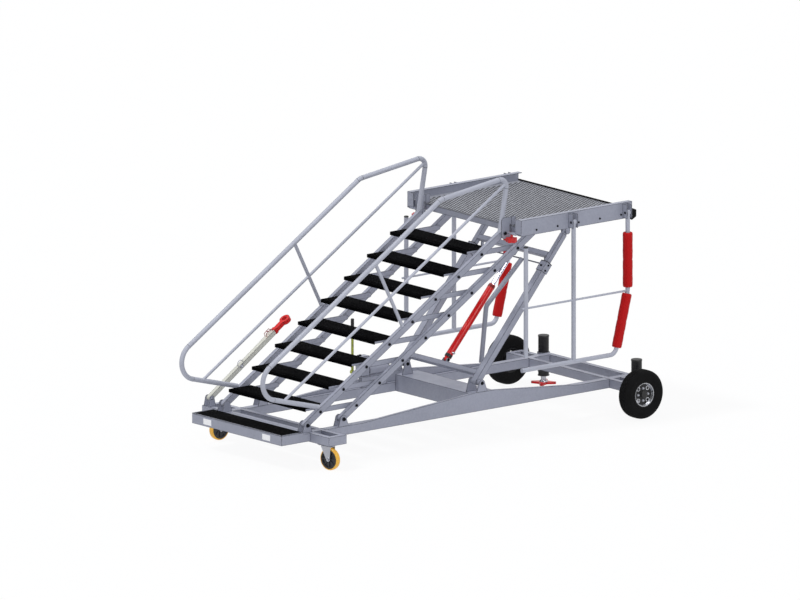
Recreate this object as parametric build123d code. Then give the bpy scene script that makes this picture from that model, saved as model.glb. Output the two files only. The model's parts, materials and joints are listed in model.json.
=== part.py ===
from build123d import *
import math
import os

# Mobile aircraft stairs: a wheeled base, a parallelogram staircase whose treads stay level,
# a platform carried by it, and two telescopic struts with a hydraulic ram that lift it.
# Millimetres. +X is to the right, +Y to the rear (the aircraft side), +Z is up from the ground.
# Places along Y are given from the rear axle, and the finished pieces are moved together
# at the end so that the origin is under the middle of the whole.

# ---- running gear
TYRE_R = 207.5
TYRE_W = 118.0
TYRE_SHOULDER = 20.0
WHEEL_X = 869.0
WHEEL_GAP = 22.0             # from each tyre to its axle plate
RIM_R = 106.0
RIM_LIP = 7.0
RIM_W = 100.0
HUB_R = 30.0
AXLE_R = 12.5
RUNNING_GAP = 0.6
SLIDE_GAP = 0.4
CASTER_R = 93.5
CASTER_W = 48.0
CASTER_HUB_R = 82.0
CASTER_AXLE_R = 6.0
CASTER_X = 726.0
CASTER_Y = -3281.0
CASTER_TRAIL = 40.0
CASTER_TURN = {"left": 270.0, "right": 190.8}   # degrees that each stands turned about its swivel
FORK_PLATE = 5.0

# ---- base frame, made of closed rectangular tubes
BASE_Z = 217.0
BASE_H = 75.0
BASE_TOP = BASE_Z + BASE_H
TUBE_W = 50.0
RAIL_X = (490.0, 560.0)      # inner and outer face of each side rail
OUTRIGGER_X = 830.0
OUTRIGGER_Y = (-3340.0, -3150.0)
REAR_BAR_Y = (-85.0, -35.0)
LAST_BAR_Y = (140.0, 190.0)
CROWN_H = 85.0
CROWN_Y = (-2750.0, -1560.0, -1350.0, -410.0)
CROWN_W = 30.0

# ---- front foot tray
TRAY_X = 585.0
TRAY_FRONT = -3650.0
TRAY_BACK = -3412.0          # behind this the tray drops to a ledge level with the base
TRAY_TOP = 306.0
TRAY_H = 82.0
TRAY_WALL = 4.0
REFLECTOR_X = (335.0, 435.0)
REFLECTOR_H = 48.0
REFLECTOR_T = 3.0

# ---- strut cross-member
MEMBER_Y = (-1530.0, -1290.0)
MEMBER_TOP = 360.0
MEMBER_WALL = 5.0

# ---- staircase parallelogram
STRINGER_X = (505.0, 545.0)
STRINGER_H = 55.0
LOW_PIVOT = (-3350.0, 354.0)
STRINGER_LEN = 2519.0
STAIR_ANGLE = 32.2
PIVOT_STEP = 391.0           # the lower stringers stand this far behind the upper ones
LUG_T = 8.0
PIVOT_R = 10.0
PIN_GAP = 1.0
TREADS = 8
TREAD_FIRST = 177.0          # along the stringer from its low pivot
TREAD_LAST = 281.9           # and the last tread's pivot from its top pivot
TREAD_PITCH = (STRINGER_LEN - TREAD_FIRST - TREAD_LAST) / (TREADS - 1)
TREAD_DEPTH = 240.0
TREAD_AHEAD = 120.0
TREAD_TOP = 32.0
TREAD_T = 20.0
TREAD_WALL = 3.0
ARM_X = (488.0, 496.0)
ARM_H = 44.0
TREAD_PIN_R = 8.0
PIN_HEAD_R = 14.0
PIN_HEAD_T = 6.0

# ---- handrails, standing on the upper stringers; places along and across the stringer
HANDRAIL_X = 530.0
HANDRAIL_R = 21.0
MID_RAIL_R = 12.5
BRACE_R = 15.0
HANDRAIL_FOOT = (191.0, 36.9)        # from the low pivot
HANDRAIL_CORNER = (-394.6, 664.5)
HANDRAIL_KNEE = (-364.1, 670.9)      # from the top pivot
HANDRAIL_HEAD = (298.7, 364.6)
HANDRAIL_END = (-21.6, 15.6)
NOSE_BEND = 156.0
KNEE_BEND = 110.0
HEAD_BEND = 70.0
MID_RAIL_START = (-72.5, 322.2)        # from the low pivot
MID_RAIL_END = (255.7, 330.2)          # from the top pivot
BRACE = ((1317.7, 656.9), (1258.7, 13.3))   # from the low pivot

# ---- platform, laid out from the top pivot of the upper stringers
TOP_PIVOT = (LOW_PIVOT[0] + STRINGER_LEN * math.cos(math.radians(STAIR_ANGLE)),
             LOW_PIVOT[1] + STRINGER_LEN * math.sin(math.radians(STAIR_ANGLE)))
PLATFORM_X = 745.0
BEAM_BEHIND = 28.4           # from the pivot back to the front of the side beams
BEAM_LENGTH = 1198.0
PLATFORM_Y = (TOP_PIVOT[0] + BEAM_BEHIND, TOP_PIVOT[0] + BEAM_BEHIND + BEAM_LENGTH)
PIVOT_TO_DECK = 58.7
DECK_TOP = TOP_PIVOT[1] + PIVOT_TO_DECK
DECK_T = 8.0
DECK_SETBACK = 44.0          # the deck starts this far behind the front of the beams
DECK_FRONT = PLATFORM_Y[0] + DECK_SETBACK
BEAM_DROP = 62.0             # the beams reach this far below the deck's top
BEAM_RISE = 75.0             # and this far above it, as toe boards
BEAM_Z = (DECK_TOP - BEAM_DROP, DECK_TOP + BEAM_RISE)
BEAM_FLANGE = 50.0
BEAM_WALL = 5.0
END_PLATE_W = 75.0
END_PLATE_T = 6.0
JOIST_H = 50.0
SIDE_JOIST_X = (564.0, 604.0)
SIDE_JOIST_H = 30.0
STRUT_JOIST_W = 60.0
STRUT_TO_REAR = 497.0        # from the struts' top pins to the rear end of the beams
STRUT_TO_DECK = 155.0
STRUT_TOP = (PLATFORM_Y[1] - STRUT_TO_REAR, DECK_TOP - STRUT_TO_DECK)
LUG_X = (556.0, 564.0)
LUG_DROP = 108.0
LUG_AHEAD = 34.0
LUG_SLOT = (59.0, 12.0, 85.0)   # place behind the pivot, width and height
BUMPER_D = 46.0
BUMPER_ROOT = (-85.0, 16.0)  # lower and upper edge at the beams, from the deck's top
BUMPER_TIP = (-61.0, -3.0)   # and at the face that meets the aircraft
KNOB_X = 616.0
KNOB_R = 49.0
KNOB_LOBE_R = 15.0
KNOB_H = 36.0
KNOB_DROP = 34.0             # from the plate down to the knob
KNOB_PLATE_X = (584.0, 695.0)
KNOB_PLATE_AHEAD = 24.0

# ---- guardrails, hung folded down outside the platform; places along Y are from the rear end
# of the beams and heights are from the hinge pins
GUARD_X = 782.0
HINGE_DROP = 5.0
GUARD_HINGE_Z = DECK_TOP - HINGE_DROP
GUARD_R = 19.0
GUARD_POSTS = (PLATFORM_Y[1] - 78.0, PLATFORM_Y[1] - 663.0)
GUARD_FRONT_POST = PLATFORM_Y[1] - 1179.0
GUARD_END = 44.0             # the lower tube's end is this far ahead of the front post
GUARD_FRONT = GUARD_FRONT_POST - GUARD_END
FRONT_POST_Z = (GUARD_HINGE_Z - 1085.0, GUARD_HINGE_Z - 150.0)
GUARD_MID_R = 9.0
GUARD_MID_Z = GUARD_HINGE_Z - 665.0
GUARD_END_Z = GUARD_HINGE_Z - 1190.0
GUARD_BEND = 70.0
LEAN_BEND = 200.0
GUARD_LEAN_Y = PLATFORM_Y[1] - 213.0
GUARD_LEAN_Z = GUARD_HINGE_Z - 660.0
SLEEVE_R = 42.5
SLEEVE_GAP = 0.3
UPPER_SLEEVE_Z = (GUARD_HINGE_Z - 634.0, GUARD_HINGE_Z - 167.0)
LOWER_SLEEVE = (30.0, 57.0)  # its distances from the two bends of the leaning tube
EAR_T = 6.0
EAR_Z = (GUARD_HINGE_Z - 48.0, GUARD_HINGE_Z + 72.0)
HINGE_PIN_R = 7.0
KNUCKLE_R = 22.0

# ---- lifting struts and ram, laid out along and across the line of the struts
STRUT_X = 475.0
STRUT_FOOT = (-1460.0, 450.0)
STRUT_OUTER = (66.0, 54.0)   # width along X and depth
STRUT_WALL = 4.0
STRUT_INNER = (46.0, 40.0)
STRUT_OUTER_END = 1185.0
COLLAR_WALL = 6.0
COLLAR_L = 90.0
STRUT_HUB_R = 22.0
INNER_START = 240.0
LOWER_TIE = 80.0             # places of the two cross ties along the struts
UPPER_TIE = 1256.0
TIE_H = 44.0
RAM_FOOT = (124.0, 6.0)      # along and across
RAM_HEAD = (1205.0, -16.0)
RAM_R = 30.0
RAM_ROD_R = 20.0
RAM_BARREL = (22.0, 745.0)   # along the ram from its foot pin
RAM_EYE_R = 20.0
EYE_W = 36.0
STRUT_LUG_T = 10.0
STRUT_LUG_X = 413.0          # inner face of the inner lug; the outer lug is flush with the rail
STRUT_LUG_HALF = 58.0
STRUT_HUB_GAP = 3.0

# ---- latch release
LATCH_ROD = (1186.0, -48.0)
LATCH_ROD_R = 6.0
LEVER_X = 110.0
LEVER_KNEE = (-1044.0, 975.0)
LEVER_END = (-1098.0, 500.0)
LEVER_R = 20.0
HANGER_H = 26.0
LEVER_BEND = 60.0

# ---- levelling jacks
JACK_X = 608.0
JACK_Y = 170.0
JACK_R = 45.0
JACK_Z = (92.0, 434.0)
STEM_R = 22.0
FOOT_R = 106.0
FOOT_Z = (22.0, 40.0)
FOOT_LOBES = 4
FOOT_LOBE_R = 16.0
FOOT_WAIST = 44.0
FOOT_TURN = 50.0             # degrees from +X to the first lobe

# ---- tow bar, stowed leaning back
TOW_X = -760.0
TOW_PIVOT = (-3315.0, 362.0)
TOW_LEN = 985.0
TOW_ANGLE = 34.0
TOW_SIZE = 40.0
TOW_NECK = 130.0
EYE_R = 46.0
EYE_BORE = 22.0
EYE_T = 34.0
NECK_W = 42.0
TOW_EAR_GAP = 5.0

# ---- hand pump beside the left rail
PUMP_Y = (-1915.0, -1600.0)
PUMP_TOP = 585.0
LEVER_Y = -1958.0
LEVER_Z = (430.0, 885.0)

SIDE = Plane(origin=(0, 0, 0), x_dir=(0, 1, 0), z_dir=(1, 0, 0))


def block(x, y, z):
    """A box between its limits along X, Y and Z."""
    size = [high - low for low, high in (x, y, z)]
    middle = [(high + low) / 2 for low, high in (x, y, z)]
    return Pos(*middle) * Box(*size)


def round_x(x, y, z, radius):
    """A round bar along X between the limits x."""
    return Pos((x[0] + x[1]) / 2, y, z) * Rot(0, 90, 0) * Cylinder(radius, x[1] - x[0])


def round_y(x, y, z, radius):
    """A round bar along Y between the limits y."""
    return Pos(x, (y[0] + y[1]) / 2, z) * Rot(90, 0, 0) * Cylinder(radius, y[1] - y[0])


def round_z(x, y, z, radius):
    """A round bar along Z between the limits z."""
    return Pos(x, y, (z[0] + z[1]) / 2) * Cylinder(radius, z[1] - z[0])


def slab(sketch, x):
    """A side-view sketch, drawn with Y and Z, made solid between the limits x."""
    return Pos(x[0], 0, 0) * extrude(SIDE * sketch, x[1] - x[0])


def outline(*points):
    """A closed side-view outline from its corners."""
    return make_face(Polyline(*points, close=True))


def between(start, end, shape):
    """Lay a sketch that is centred on the origin along the line from start to end."""
    dy, dz = end[0] - start[0], end[1] - start[1]
    middle = ((start[0] + end[0]) / 2, (start[1] + end[1]) / 2)
    return Pos(*middle) * Rot(0, 0, math.degrees(math.atan2(dz, dy))) * shape


def bar(start, end, height):
    """The side view of a square-ended bar from start to end."""
    return between(start, end, Rectangle(math.dist(start, end), height))


def link(start, end, height):
    """The side view of a bar whose round ends are centred on start and end."""
    return between(start, end, SlotCenterToCenter(math.dist(start, end), height))


def hole(place, radius):
    """The side view of a round hole or boss."""
    return Pos(*place) * Circle(radius)


def pipe(x, points, radius, bends=None):
    """A round tube in a plane of constant X, with an arc of the given radius at each corner."""
    corners = [(x, y, z) for y, z in points]
    path = FilletPolyline(*corners, radius=bends) if bends else Line(*corners)
    return sweep(Plane(origin=path @ 0, z_dir=path % 0) * Circle(radius), path)


def both(piece):
    """A right-hand piece together with its left-hand mirror image."""
    return piece + mirror(piece, Plane.YZ)


def handed(piece, side):
    """The right-hand piece, or its mirror image for the left side."""
    return piece if side == "right" else mirror(piece, Plane.YZ)


def on_stringer(along, across=0.0, base=LOW_PIVOT):
    """A place given along and across the line of the upper stringer from one of its pivots."""
    angle = math.radians(STAIR_ANGLE)
    uy, uz = math.cos(angle), math.sin(angle)
    return base[0] + along * uy - across * uz, base[1] + along * uz + across * uy


def behind(place):
    """The same place on the lower stringer."""
    return place[0] + PIVOT_STEP, place[1]


def on_strut(along, across=0.0):
    """A place given along the strut from its foot pin, and across it towards the stairs."""
    dy, dz = STRUT_TOP[0] - STRUT_FOOT[0], STRUT_TOP[1] - STRUT_FOOT[1]
    length = math.hypot(dy, dz)
    uy, uz = dy / length, dz / length
    return STRUT_FOOT[0] + along * uy - across * uz, STRUT_FOOT[1] + along * uz + across * uy


def on_line(start, end, distance):
    """The place at a distance from start towards end."""
    share = distance / math.dist(start, end)
    return start[0] + share * (end[0] - start[0]), start[1] + share * (end[1] - start[1])


TREAD_PIVOTS = [on_stringer(TREAD_FIRST + i * TREAD_PITCH) for i in range(TREADS)]
RAM_FOOT_PIN = on_strut(*RAM_FOOT)
RAM_HEAD_PIN = on_strut(*RAM_HEAD)


# ---------------------------------------------------------------- base frame
def side_rails():
    """The two long rails, each with a tapered crown that deepens it under the struts."""
    y = (OUTRIGGER_Y[1] - TUBE_W, REAR_BAR_Y[0])
    rail = block(RAIL_X, (OUTRIGGER_Y[1], y[1]), (BASE_Z, BASE_TOP))
    low, rise, fall, end = CROWN_Y
    top = BASE_TOP + CROWN_H
    crown = outline((low, BASE_TOP), (rise, top), (fall, top), (end, BASE_TOP))
    return both(rail + slab(crown, (RAIL_X[1] - CROWN_W, RAIL_X[1])))


def front_frame():
    """The front outrigger: two cross tubes joined by short ones, with caster plates below."""
    x = (-OUTRIGGER_X, OUTRIGGER_X)
    z = (BASE_Z, BASE_TOP)
    front, back = OUTRIGGER_Y
    frame = block(x, (front, front + TUBE_W), z) + block(x, (back - TUBE_W, back), z)
    for inner, outer in (RAIL_X, (OUTRIGGER_X - TUBE_W, OUTRIGGER_X)):
        frame += both(block((inner, outer), (front + TUBE_W, back - TUBE_W), z))
    floor = block((RAIL_X[1], OUTRIGGER_X - TUBE_W), (front + TUBE_W, back - TUBE_W),
                  (BASE_Z, BASE_Z + FORK_PLATE))
    return frame + both(floor)


def foot_tray():
    """The first step: a folded tray, open below, fixed to the front of the base."""
    z = TRAY_TOP - TRAY_H
    y = (TRAY_FRONT, OUTRIGGER_Y[0])
    inside = outline((y[0] + TRAY_WALL, z - 1), (y[0] + TRAY_WALL, TRAY_TOP - TRAY_WALL),
                     (TRAY_BACK - TRAY_WALL, TRAY_TOP - TRAY_WALL),
                     (TRAY_BACK - TRAY_WALL, BASE_TOP - TRAY_WALL),
                     (y[1] - TRAY_WALL, BASE_TOP - TRAY_WALL), (y[1] - TRAY_WALL, z - 1))
    outside = outline((y[0], z), (y[0], TRAY_TOP), (TRAY_BACK, TRAY_TOP), (TRAY_BACK, BASE_TOP),
                      (y[1], BASE_TOP), (y[1], z))
    pan = slab(outside, (-TRAY_X, TRAY_X))
    return pan - slab(inside, (-TRAY_X + TRAY_WALL, TRAY_X - TRAY_WALL))


def reflectors():
    """Two blank marker plates on the front face of the tray."""
    z = TRAY_TOP - TRAY_H / 2
    return both(block(REFLECTOR_X, (TRAY_FRONT - REFLECTOR_T, TRAY_FRONT),
                      (z - REFLECTOR_H / 2, z + REFLECTOR_H / 2)))


def cross_member():
    """The wide pressed channel between the rails that carries the struts."""
    x = (-RAIL_X[0], RAIL_X[0])
    channel = block(x, MEMBER_Y, (BASE_Z, MEMBER_TOP))
    inside = (MEMBER_Y[0] + MEMBER_WALL, MEMBER_Y[1] - MEMBER_WALL)
    return channel - block(x, inside, (BASE_Z - 1, MEMBER_TOP - MEMBER_WALL))


def rear_frame():
    """Two cross tubes at the rear, the wheel outriggers and the rings that hold the jacks."""
    z = (BASE_Z, BASE_TOP)
    front = REAR_BAR_Y[0]
    frame = block((-RAIL_X[1], RAIL_X[1]), REAR_BAR_Y, z)
    frame += block((-RAIL_X[1], RAIL_X[1]), LAST_BAR_Y, z)
    frame += both(block(RAIL_X, (REAR_BAR_Y[1], LAST_BAR_Y[0]), z))
    reach = WHEEL_X - TYRE_W / 2 - WHEEL_GAP
    box = block((RAIL_X[1], reach), (front, front + TUBE_W), z)
    box += block((RAIL_X[1], reach), (-front - TUBE_W, -front), z)
    box += block((reach - TUBE_W, reach), (front + TUBE_W, -front - TUBE_W), z)
    ring = round_z(JACK_X, JACK_Y, (BASE_Z, BASE_TOP), JACK_R + 9.0)
    ring -= round_z(JACK_X, JACK_Y, (BASE_Z - 1, BASE_TOP + 1), JACK_R + 0.3)
    ring -= block((0, RAIL_X[1]), (0, 2 * JACK_Y), (BASE_Z - 1, BASE_TOP + 1))
    return frame + both(box + ring)


def stub_axles():
    """Each wheel's axle plate, hung under its outrigger, with the stub axle it carries."""
    reach = WHEEL_X - TYRE_W / 2 - WHEEL_GAP
    plate = slab(outline((-70, BASE_TOP), (70, BASE_TOP), (70, 225), (30, 170), (-30, 170), (-70, 225)),
                 (reach, reach + 8.0))
    axle = round_x((reach + 8.0, WHEEL_X + RIM_W / 2 - 6.0), 0, TYRE_R, AXLE_R)
    return both(plate + axle)


def jack_tubes():
    """The outer tubes of the levelling jacks, closed by a cap at the top."""
    tube = round_z(JACK_X, JACK_Y, JACK_Z, JACK_R)
    low, high = JACK_Z
    tube -= round_z(JACK_X, JACK_Y, (low - 1, low + 40.0), STEM_R + SLIDE_GAP)
    tube -= round_z(JACK_X, JACK_Y, (low + 40.0, high - 60.0), STEM_R + 6.0)
    return both(tube)


def stair_lugs():
    """Lug pairs with their pins for the low ends of the upper and lower stringers."""
    lugs = None
    for pivot in (LOW_PIVOT, behind(LOW_PIVOT)):
        half = 46.0
        plate = outline((pivot[0] - half - 8, BASE_TOP), (pivot[0] + half + 8, BASE_TOP),
                        (pivot[0] + half - 12, pivot[1]), (pivot[0] - half + 12, pivot[1]))
        plate += hole(pivot, half - 12)
        inner = slab(plate, (RAIL_X[0], RAIL_X[0] + LUG_T))
        outer = slab(plate, (RAIL_X[1] - LUG_T, RAIL_X[1]))
        pin = round_x((RAIL_X[0] + LUG_T, RAIL_X[1] - LUG_T), *pivot, PIVOT_R)
        cap = round_x((RAIL_X[1], RAIL_X[1] + 7), *pivot, PIVOT_R + 6)
        piece = both(inner + outer + pin + cap)
        lugs = piece if lugs is None else lugs + piece
    return lugs


def strut_lugs():
    """Lug pairs with their pins for the struts: one on the cross-member, one on the rail's crown."""
    y, z = STRUT_FOOT
    half = STRUT_LUG_HALF
    pairs = None
    for low, foot in ((STRUT_LUG_X, MEMBER_TOP), (RAIL_X[1] - STRUT_LUG_T, BASE_TOP + CROWN_H)):
        plate = outline((y - half, foot), (y + half, foot), (y + 30, z), (y - 30, z)) + hole(STRUT_FOOT, 30)
        lug = slab(plate, (low, low + STRUT_LUG_T))
        pairs = lug if pairs is None else pairs + lug
    pin = round_x((STRUT_LUG_X + STRUT_LUG_T, RAIL_X[1] - STRUT_LUG_T), y, z, PIVOT_R + 2)
    return both(pairs + pin)


def tow_bracket():
    """Two ears with the pin that holds the tow bar on the left outrigger."""
    y, z = TOW_PIVOT
    plate = outline((y - 40, BASE_TOP), (y + 40, BASE_TOP), (y + 24, z), (y - 24, z)) + hole(TOW_PIVOT, 24.0)
    gap = TOW_SIZE / 2 + TOW_EAR_GAP
    ears = slab(plate, (TOW_X - gap - 8, TOW_X - gap)) + slab(plate, (TOW_X + gap, TOW_X + gap + 8))
    return ears + round_x((TOW_X - gap, TOW_X + gap), y, z, PIVOT_R)


def hand_pump():
    """The pump block and reservoir, on a pedestal on the left rail beside its crown."""
    crown = BASE_TOP + CROWN_H
    inner = -RAIL_X[0]
    outer = -RAIL_X[1] + CROWN_W
    y0, y1 = PUMP_Y
    body = block((outer + 2, inner - 2), (y0 + 20, y1 - 20), (BASE_TOP, crown))
    body += block((inner - 80, inner), (y0, y1), (crown, crown + 10))
    body += block((inner - 80, inner - 6), (y0 + 20, y0 + 110), (crown + 10, PUMP_TOP - 30))
    body += round_y(inner - 40, (y0 + 110, y1), crown + 52, 44.0)
    arm = bar((y0 + 24, LEVER_Z[0]), (LEVER_Y, LEVER_Z[0]), 26) + hole((LEVER_Y, LEVER_Z[0]), 13)
    return body + slab(arm, (inner - 30, inner - 16))


def pump_lever():
    """The pump's hand lever, standing up from its socket."""
    face = -RAIL_X[0] - 30
    socket = round_x((face - 30, face), LEVER_Y, LEVER_Z[0], 16.0)
    return socket + round_z(face - 15, LEVER_Y, LEVER_Z, 11.0)


# ---------------------------------------------------------------- wheels
def tyre():
    """A road tyre, as a ring about the Z axis with rounded shoulders."""
    half = TYRE_W / 2
    cut = TYRE_SHOULDER
    ring = Polyline((RIM_R, -half + 8), (TYRE_R - cut, -half), (TYRE_R, -half + cut),
                    (TYRE_R, half - cut), (TYRE_R - cut, half), (RIM_R, half - 8), close=True)
    section = Plane.XZ * fillet(make_face(ring).vertices(), 5.0)
    return revolve(section, Axis.Z)


def rim():
    """A pressed wheel: a flanged barrel, a dished web with four holes, and its hub."""
    half = RIM_W / 2
    barrel = Cylinder(RIM_R - 0.3, RIM_W) - Cylinder(RIM_R - RIM_LIP, RIM_W + 2)
    web = Pos(0, 0, half - 26) * Cylinder(RIM_R - RIM_LIP, 6)
    for i in range(4):
        web -= Rot(0, 0, 45 + i * 90) * Pos(70, 0, half - 26) * Cylinder(14, 10)
    hub = Pos(0, 0, half - 32) * Cylinder(HUB_R, 58)
    bore = Cylinder(AXLE_R + RUNNING_GAP, RIM_W + 40)
    return barrel + (web + hub) - bore


def wheel(piece, side):
    """Stand a wheel piece on its axle, its dished face outwards."""
    return handed(Pos(WHEEL_X, 0, TYRE_R) * Rot(0, 90, 0) * piece, side)


# ---------------------------------------------------------------- casters
def caster_fork():
    """A swivel plate, its bearing and the fork, trailing along -X before it is turned."""
    top = BASE_Z - FORK_PLATE - SLIDE_GAP
    crown = top - 9.0
    fork = round_z(0, 0, (crown, top), 34.0)
    width = CASTER_W / 2 + 3.0
    x = (-CASTER_TRAIL - 28, 36)
    fork += block(x, (-width - 4, width + 4), (crown - 5, crown))
    for low in (-width - 4, width):
        leg = Polyline((x[0], crown - 5), (x[1], crown - 5), (-CASTER_TRAIL + 18, CASTER_R - 4),
                       (-CASTER_TRAIL - 18, CASTER_R - 4), close=True)
        cheek = make_face(leg) + Pos(-CASTER_TRAIL, CASTER_R) * Circle(19)
        fork += Pos(0, low + 4, 0) * Rot(90, 0, 0) * extrude(cheek, 4)
    return fork + round_y(-CASTER_TRAIL, (-width, width), CASTER_R, CASTER_AXLE_R)


def caster_plate():
    """The top plate of a caster, fixed under the outrigger."""
    z = BASE_Z - FORK_PLATE
    return both(block((CASTER_X - 52, CASTER_X + 52), (CASTER_Y - 55, CASTER_Y + 55), (z, BASE_Z)))


def caster_tread():
    """The tread of a caster wheel, about the Y axis."""
    ring = Rot(90, 0, 0) * (Cylinder(CASTER_R, CASTER_W) - Cylinder(CASTER_HUB_R, CASTER_W + 2))
    return Pos(-CASTER_TRAIL, 0, CASTER_R) * fillet(ring.edges().filter_by(GeomType.CIRCLE)
                                                    .filter_by(lambda e: e.radius > CASTER_HUB_R + 1), 8)


def caster_hub():
    """The core of a caster wheel, dished on both faces and bored for its axle."""
    core = Cylinder(CASTER_HUB_R - 0.2, CASTER_W - 4)
    for end in (1, -1):
        core -= Pos(0, 0, end * (CASTER_W / 2)) * (Cylinder(CASTER_HUB_R - 9, 24) - Cylinder(16, 30))
    core -= Cylinder(CASTER_AXLE_R + RUNNING_GAP, CASTER_W + 2)
    return Pos(-CASTER_TRAIL, 0, CASTER_R) * Rot(90, 0, 0) * core


def caster(piece, side):
    """Stand a caster piece under its outrigger, turned about its swivel."""
    x = CASTER_X if side == "right" else -CASTER_X
    return Pos(x, CASTER_Y, 0) * Rot(0, 0, CASTER_TURN[side]) * piece


# ---------------------------------------------------------------- jacks and tow bar
def jack_stem(side):
    """The jack's stem, inside its tube."""
    return handed(round_z(JACK_X, JACK_Y, (FOOT_Z[1], JACK_Z[1] - 90.0), STEM_R), side)


def jack_foot(side):
    """The jack's foot, a plate with four tapered lobes."""
    tip = FOOT_R - FOOT_LOBE_R
    shape = None
    for i in range(FOOT_LOBES):
        lobe = make_face(Polyline((0, -FOOT_WAIST), (tip, -FOOT_LOBE_R), (tip, FOOT_LOBE_R),
                                  (0, FOOT_WAIST), close=True)) + Pos(tip, 0) * Circle(FOOT_LOBE_R)
        lobe = Rot(0, 0, FOOT_TURN + i * 360 / FOOT_LOBES) * lobe
        shape = lobe if shape is None else shape + lobe
    foot = Pos(JACK_X, JACK_Y, FOOT_Z[0]) * extrude(shape, FOOT_Z[1] - FOOT_Z[0])
    return handed(foot, side)


def tow_bar():
    """The drawbar tube, with a round end on its pin and a spring catch on top."""
    angle = math.radians(TOW_ANGLE)
    end = (TOW_PIVOT[0] + (TOW_LEN - TOW_NECK) * math.cos(angle),
           TOW_PIVOT[1] + (TOW_LEN - TOW_NECK) * math.sin(angle))
    half = TOW_SIZE / 2
    bore = hole(TOW_PIVOT, PIVOT_R + PIN_GAP)
    shape = bar(TOW_PIVOT, end, TOW_SIZE) + hole(TOW_PIVOT, half) - bore
    return slab(shape, (TOW_X - half, TOW_X + half))


def tow_eye():
    """The forged neck and ring at the end of the drawbar."""
    ring = Cylinder(EYE_R, EYE_T) - Cylinder(EYE_BORE, EYE_T + 2)
    neck = Pos(-(TOW_NECK + EYE_BORE + 4) / 2, 0, 0) * Box(TOW_NECK - EYE_BORE - 4, NECK_W, EYE_T)
    placed = Plane(origin=(TOW_X, *tow_eye_centre()),
                   x_dir=(0, math.cos(math.radians(TOW_ANGLE)), math.sin(math.radians(TOW_ANGLE))),
                   z_dir=(0, -math.sin(math.radians(TOW_ANGLE)), math.cos(math.radians(TOW_ANGLE))))
    return placed.location * (ring + neck)


def tow_eye_centre():
    """The centre of the tow eye's bore in side view."""
    angle = math.radians(TOW_ANGLE)
    return TOW_PIVOT[0] + TOW_LEN * math.cos(angle), TOW_PIVOT[1] + TOW_LEN * math.sin(angle)


# ---------------------------------------------------------------- staircase
def stringers(low, ends):
    """A pair of stringers with round ends, bored for every pivot."""
    top = low[0] + TOP_PIVOT[0] - LOW_PIVOT[0], low[1] + TOP_PIVOT[1] - LOW_PIVOT[1]
    shape = link(low, top, STRINGER_H)
    shape -= hole(low, PIVOT_R + PIN_GAP)
    shape -= hole(top, PIVOT_R + PIN_GAP)
    for place in ends:
        shape -= hole(place, TREAD_PIN_R + PIN_GAP)
    return both(slab(shape, STRINGER_X))


def tread(pivot):
    """A level tread: a folded plate between two arms, with its four pivot pins."""
    y = (pivot[0] - TREAD_AHEAD, pivot[0] - TREAD_AHEAD + TREAD_DEPTH)
    z = (pivot[1] + TREAD_TOP - TREAD_T, pivot[1] + TREAD_TOP)
    x = (-ARM_X[0], ARM_X[0])
    plate = block(x, y, z) - block(x, (y[0] + TREAD_WALL, y[1] - TREAD_WALL), (z[0] - 1, z[1] - TREAD_WALL))
    far = behind(pivot)
    side = slab(link(pivot, far, ARM_H), ARM_X)
    side += block(ARM_X, (y[0], y[1]), z)
    for place in (pivot, far):
        side += round_x((ARM_X[1], STRINGER_X[1] + 1), *place, TREAD_PIN_R)
        side += round_x((STRINGER_X[1] + 0.5, STRINGER_X[1] + 0.5 + PIN_HEAD_T), *place, PIN_HEAD_R)
        side += round_x((ARM_X[1], STRINGER_X[0] - 0.5), *place, PIN_HEAD_R)
    return plate + both(side)


def handrail(side):
    """A bent handrail with its middle rail and brace, standing on the upper stringer."""
    x = HANDRAIL_X
    route = [on_stringer(*place) for place in (HANDRAIL_FOOT, HANDRAIL_CORNER)]
    route += [on_stringer(*place, TOP_PIVOT) for place in (HANDRAIL_KNEE, HANDRAIL_HEAD, HANDRAIL_END)]
    rail = pipe(x, route, HANDRAIL_R, [NOSE_BEND, KNEE_BEND, HEAD_BEND])
    rail += pipe(x, (on_stringer(*MID_RAIL_START), on_stringer(*MID_RAIL_END, TOP_PIVOT)), MID_RAIL_R)
    rail += pipe(x, [on_stringer(*place) for place in BRACE], BRACE_R)
    top = link(LOW_PIVOT, TOP_PIVOT, STRINGER_H)
    return handed(rail - slab(top, (STRINGER_X[0] - 40, STRINGER_X[1] + 40)), side)


# ---------------------------------------------------------------- platform
def platform_beams():
    """The channel-section side beams, webs outwards, standing above the deck as toe boards."""
    web = block((PLATFORM_X - BEAM_WALL, PLATFORM_X), PLATFORM_Y, BEAM_Z)
    inner = (PLATFORM_X - BEAM_FLANGE, PLATFORM_X)
    web += block(inner, PLATFORM_Y, (BEAM_Z[0], BEAM_Z[0] + BEAM_WALL))
    web += block(inner, PLATFORM_Y, (BEAM_Z[1] - BEAM_WALL, BEAM_Z[1]))
    corner = PLATFORM_X - BEAM_WALL
    low = DECK_TOP - DECK_T - JOIST_H + BEAM_WALL
    web += block((corner - END_PLATE_W, corner), (PLATFORM_Y[0], PLATFORM_Y[0] + END_PLATE_T),
                 (low, BEAM_Z[1] - BEAM_WALL))
    return both(web)


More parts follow.
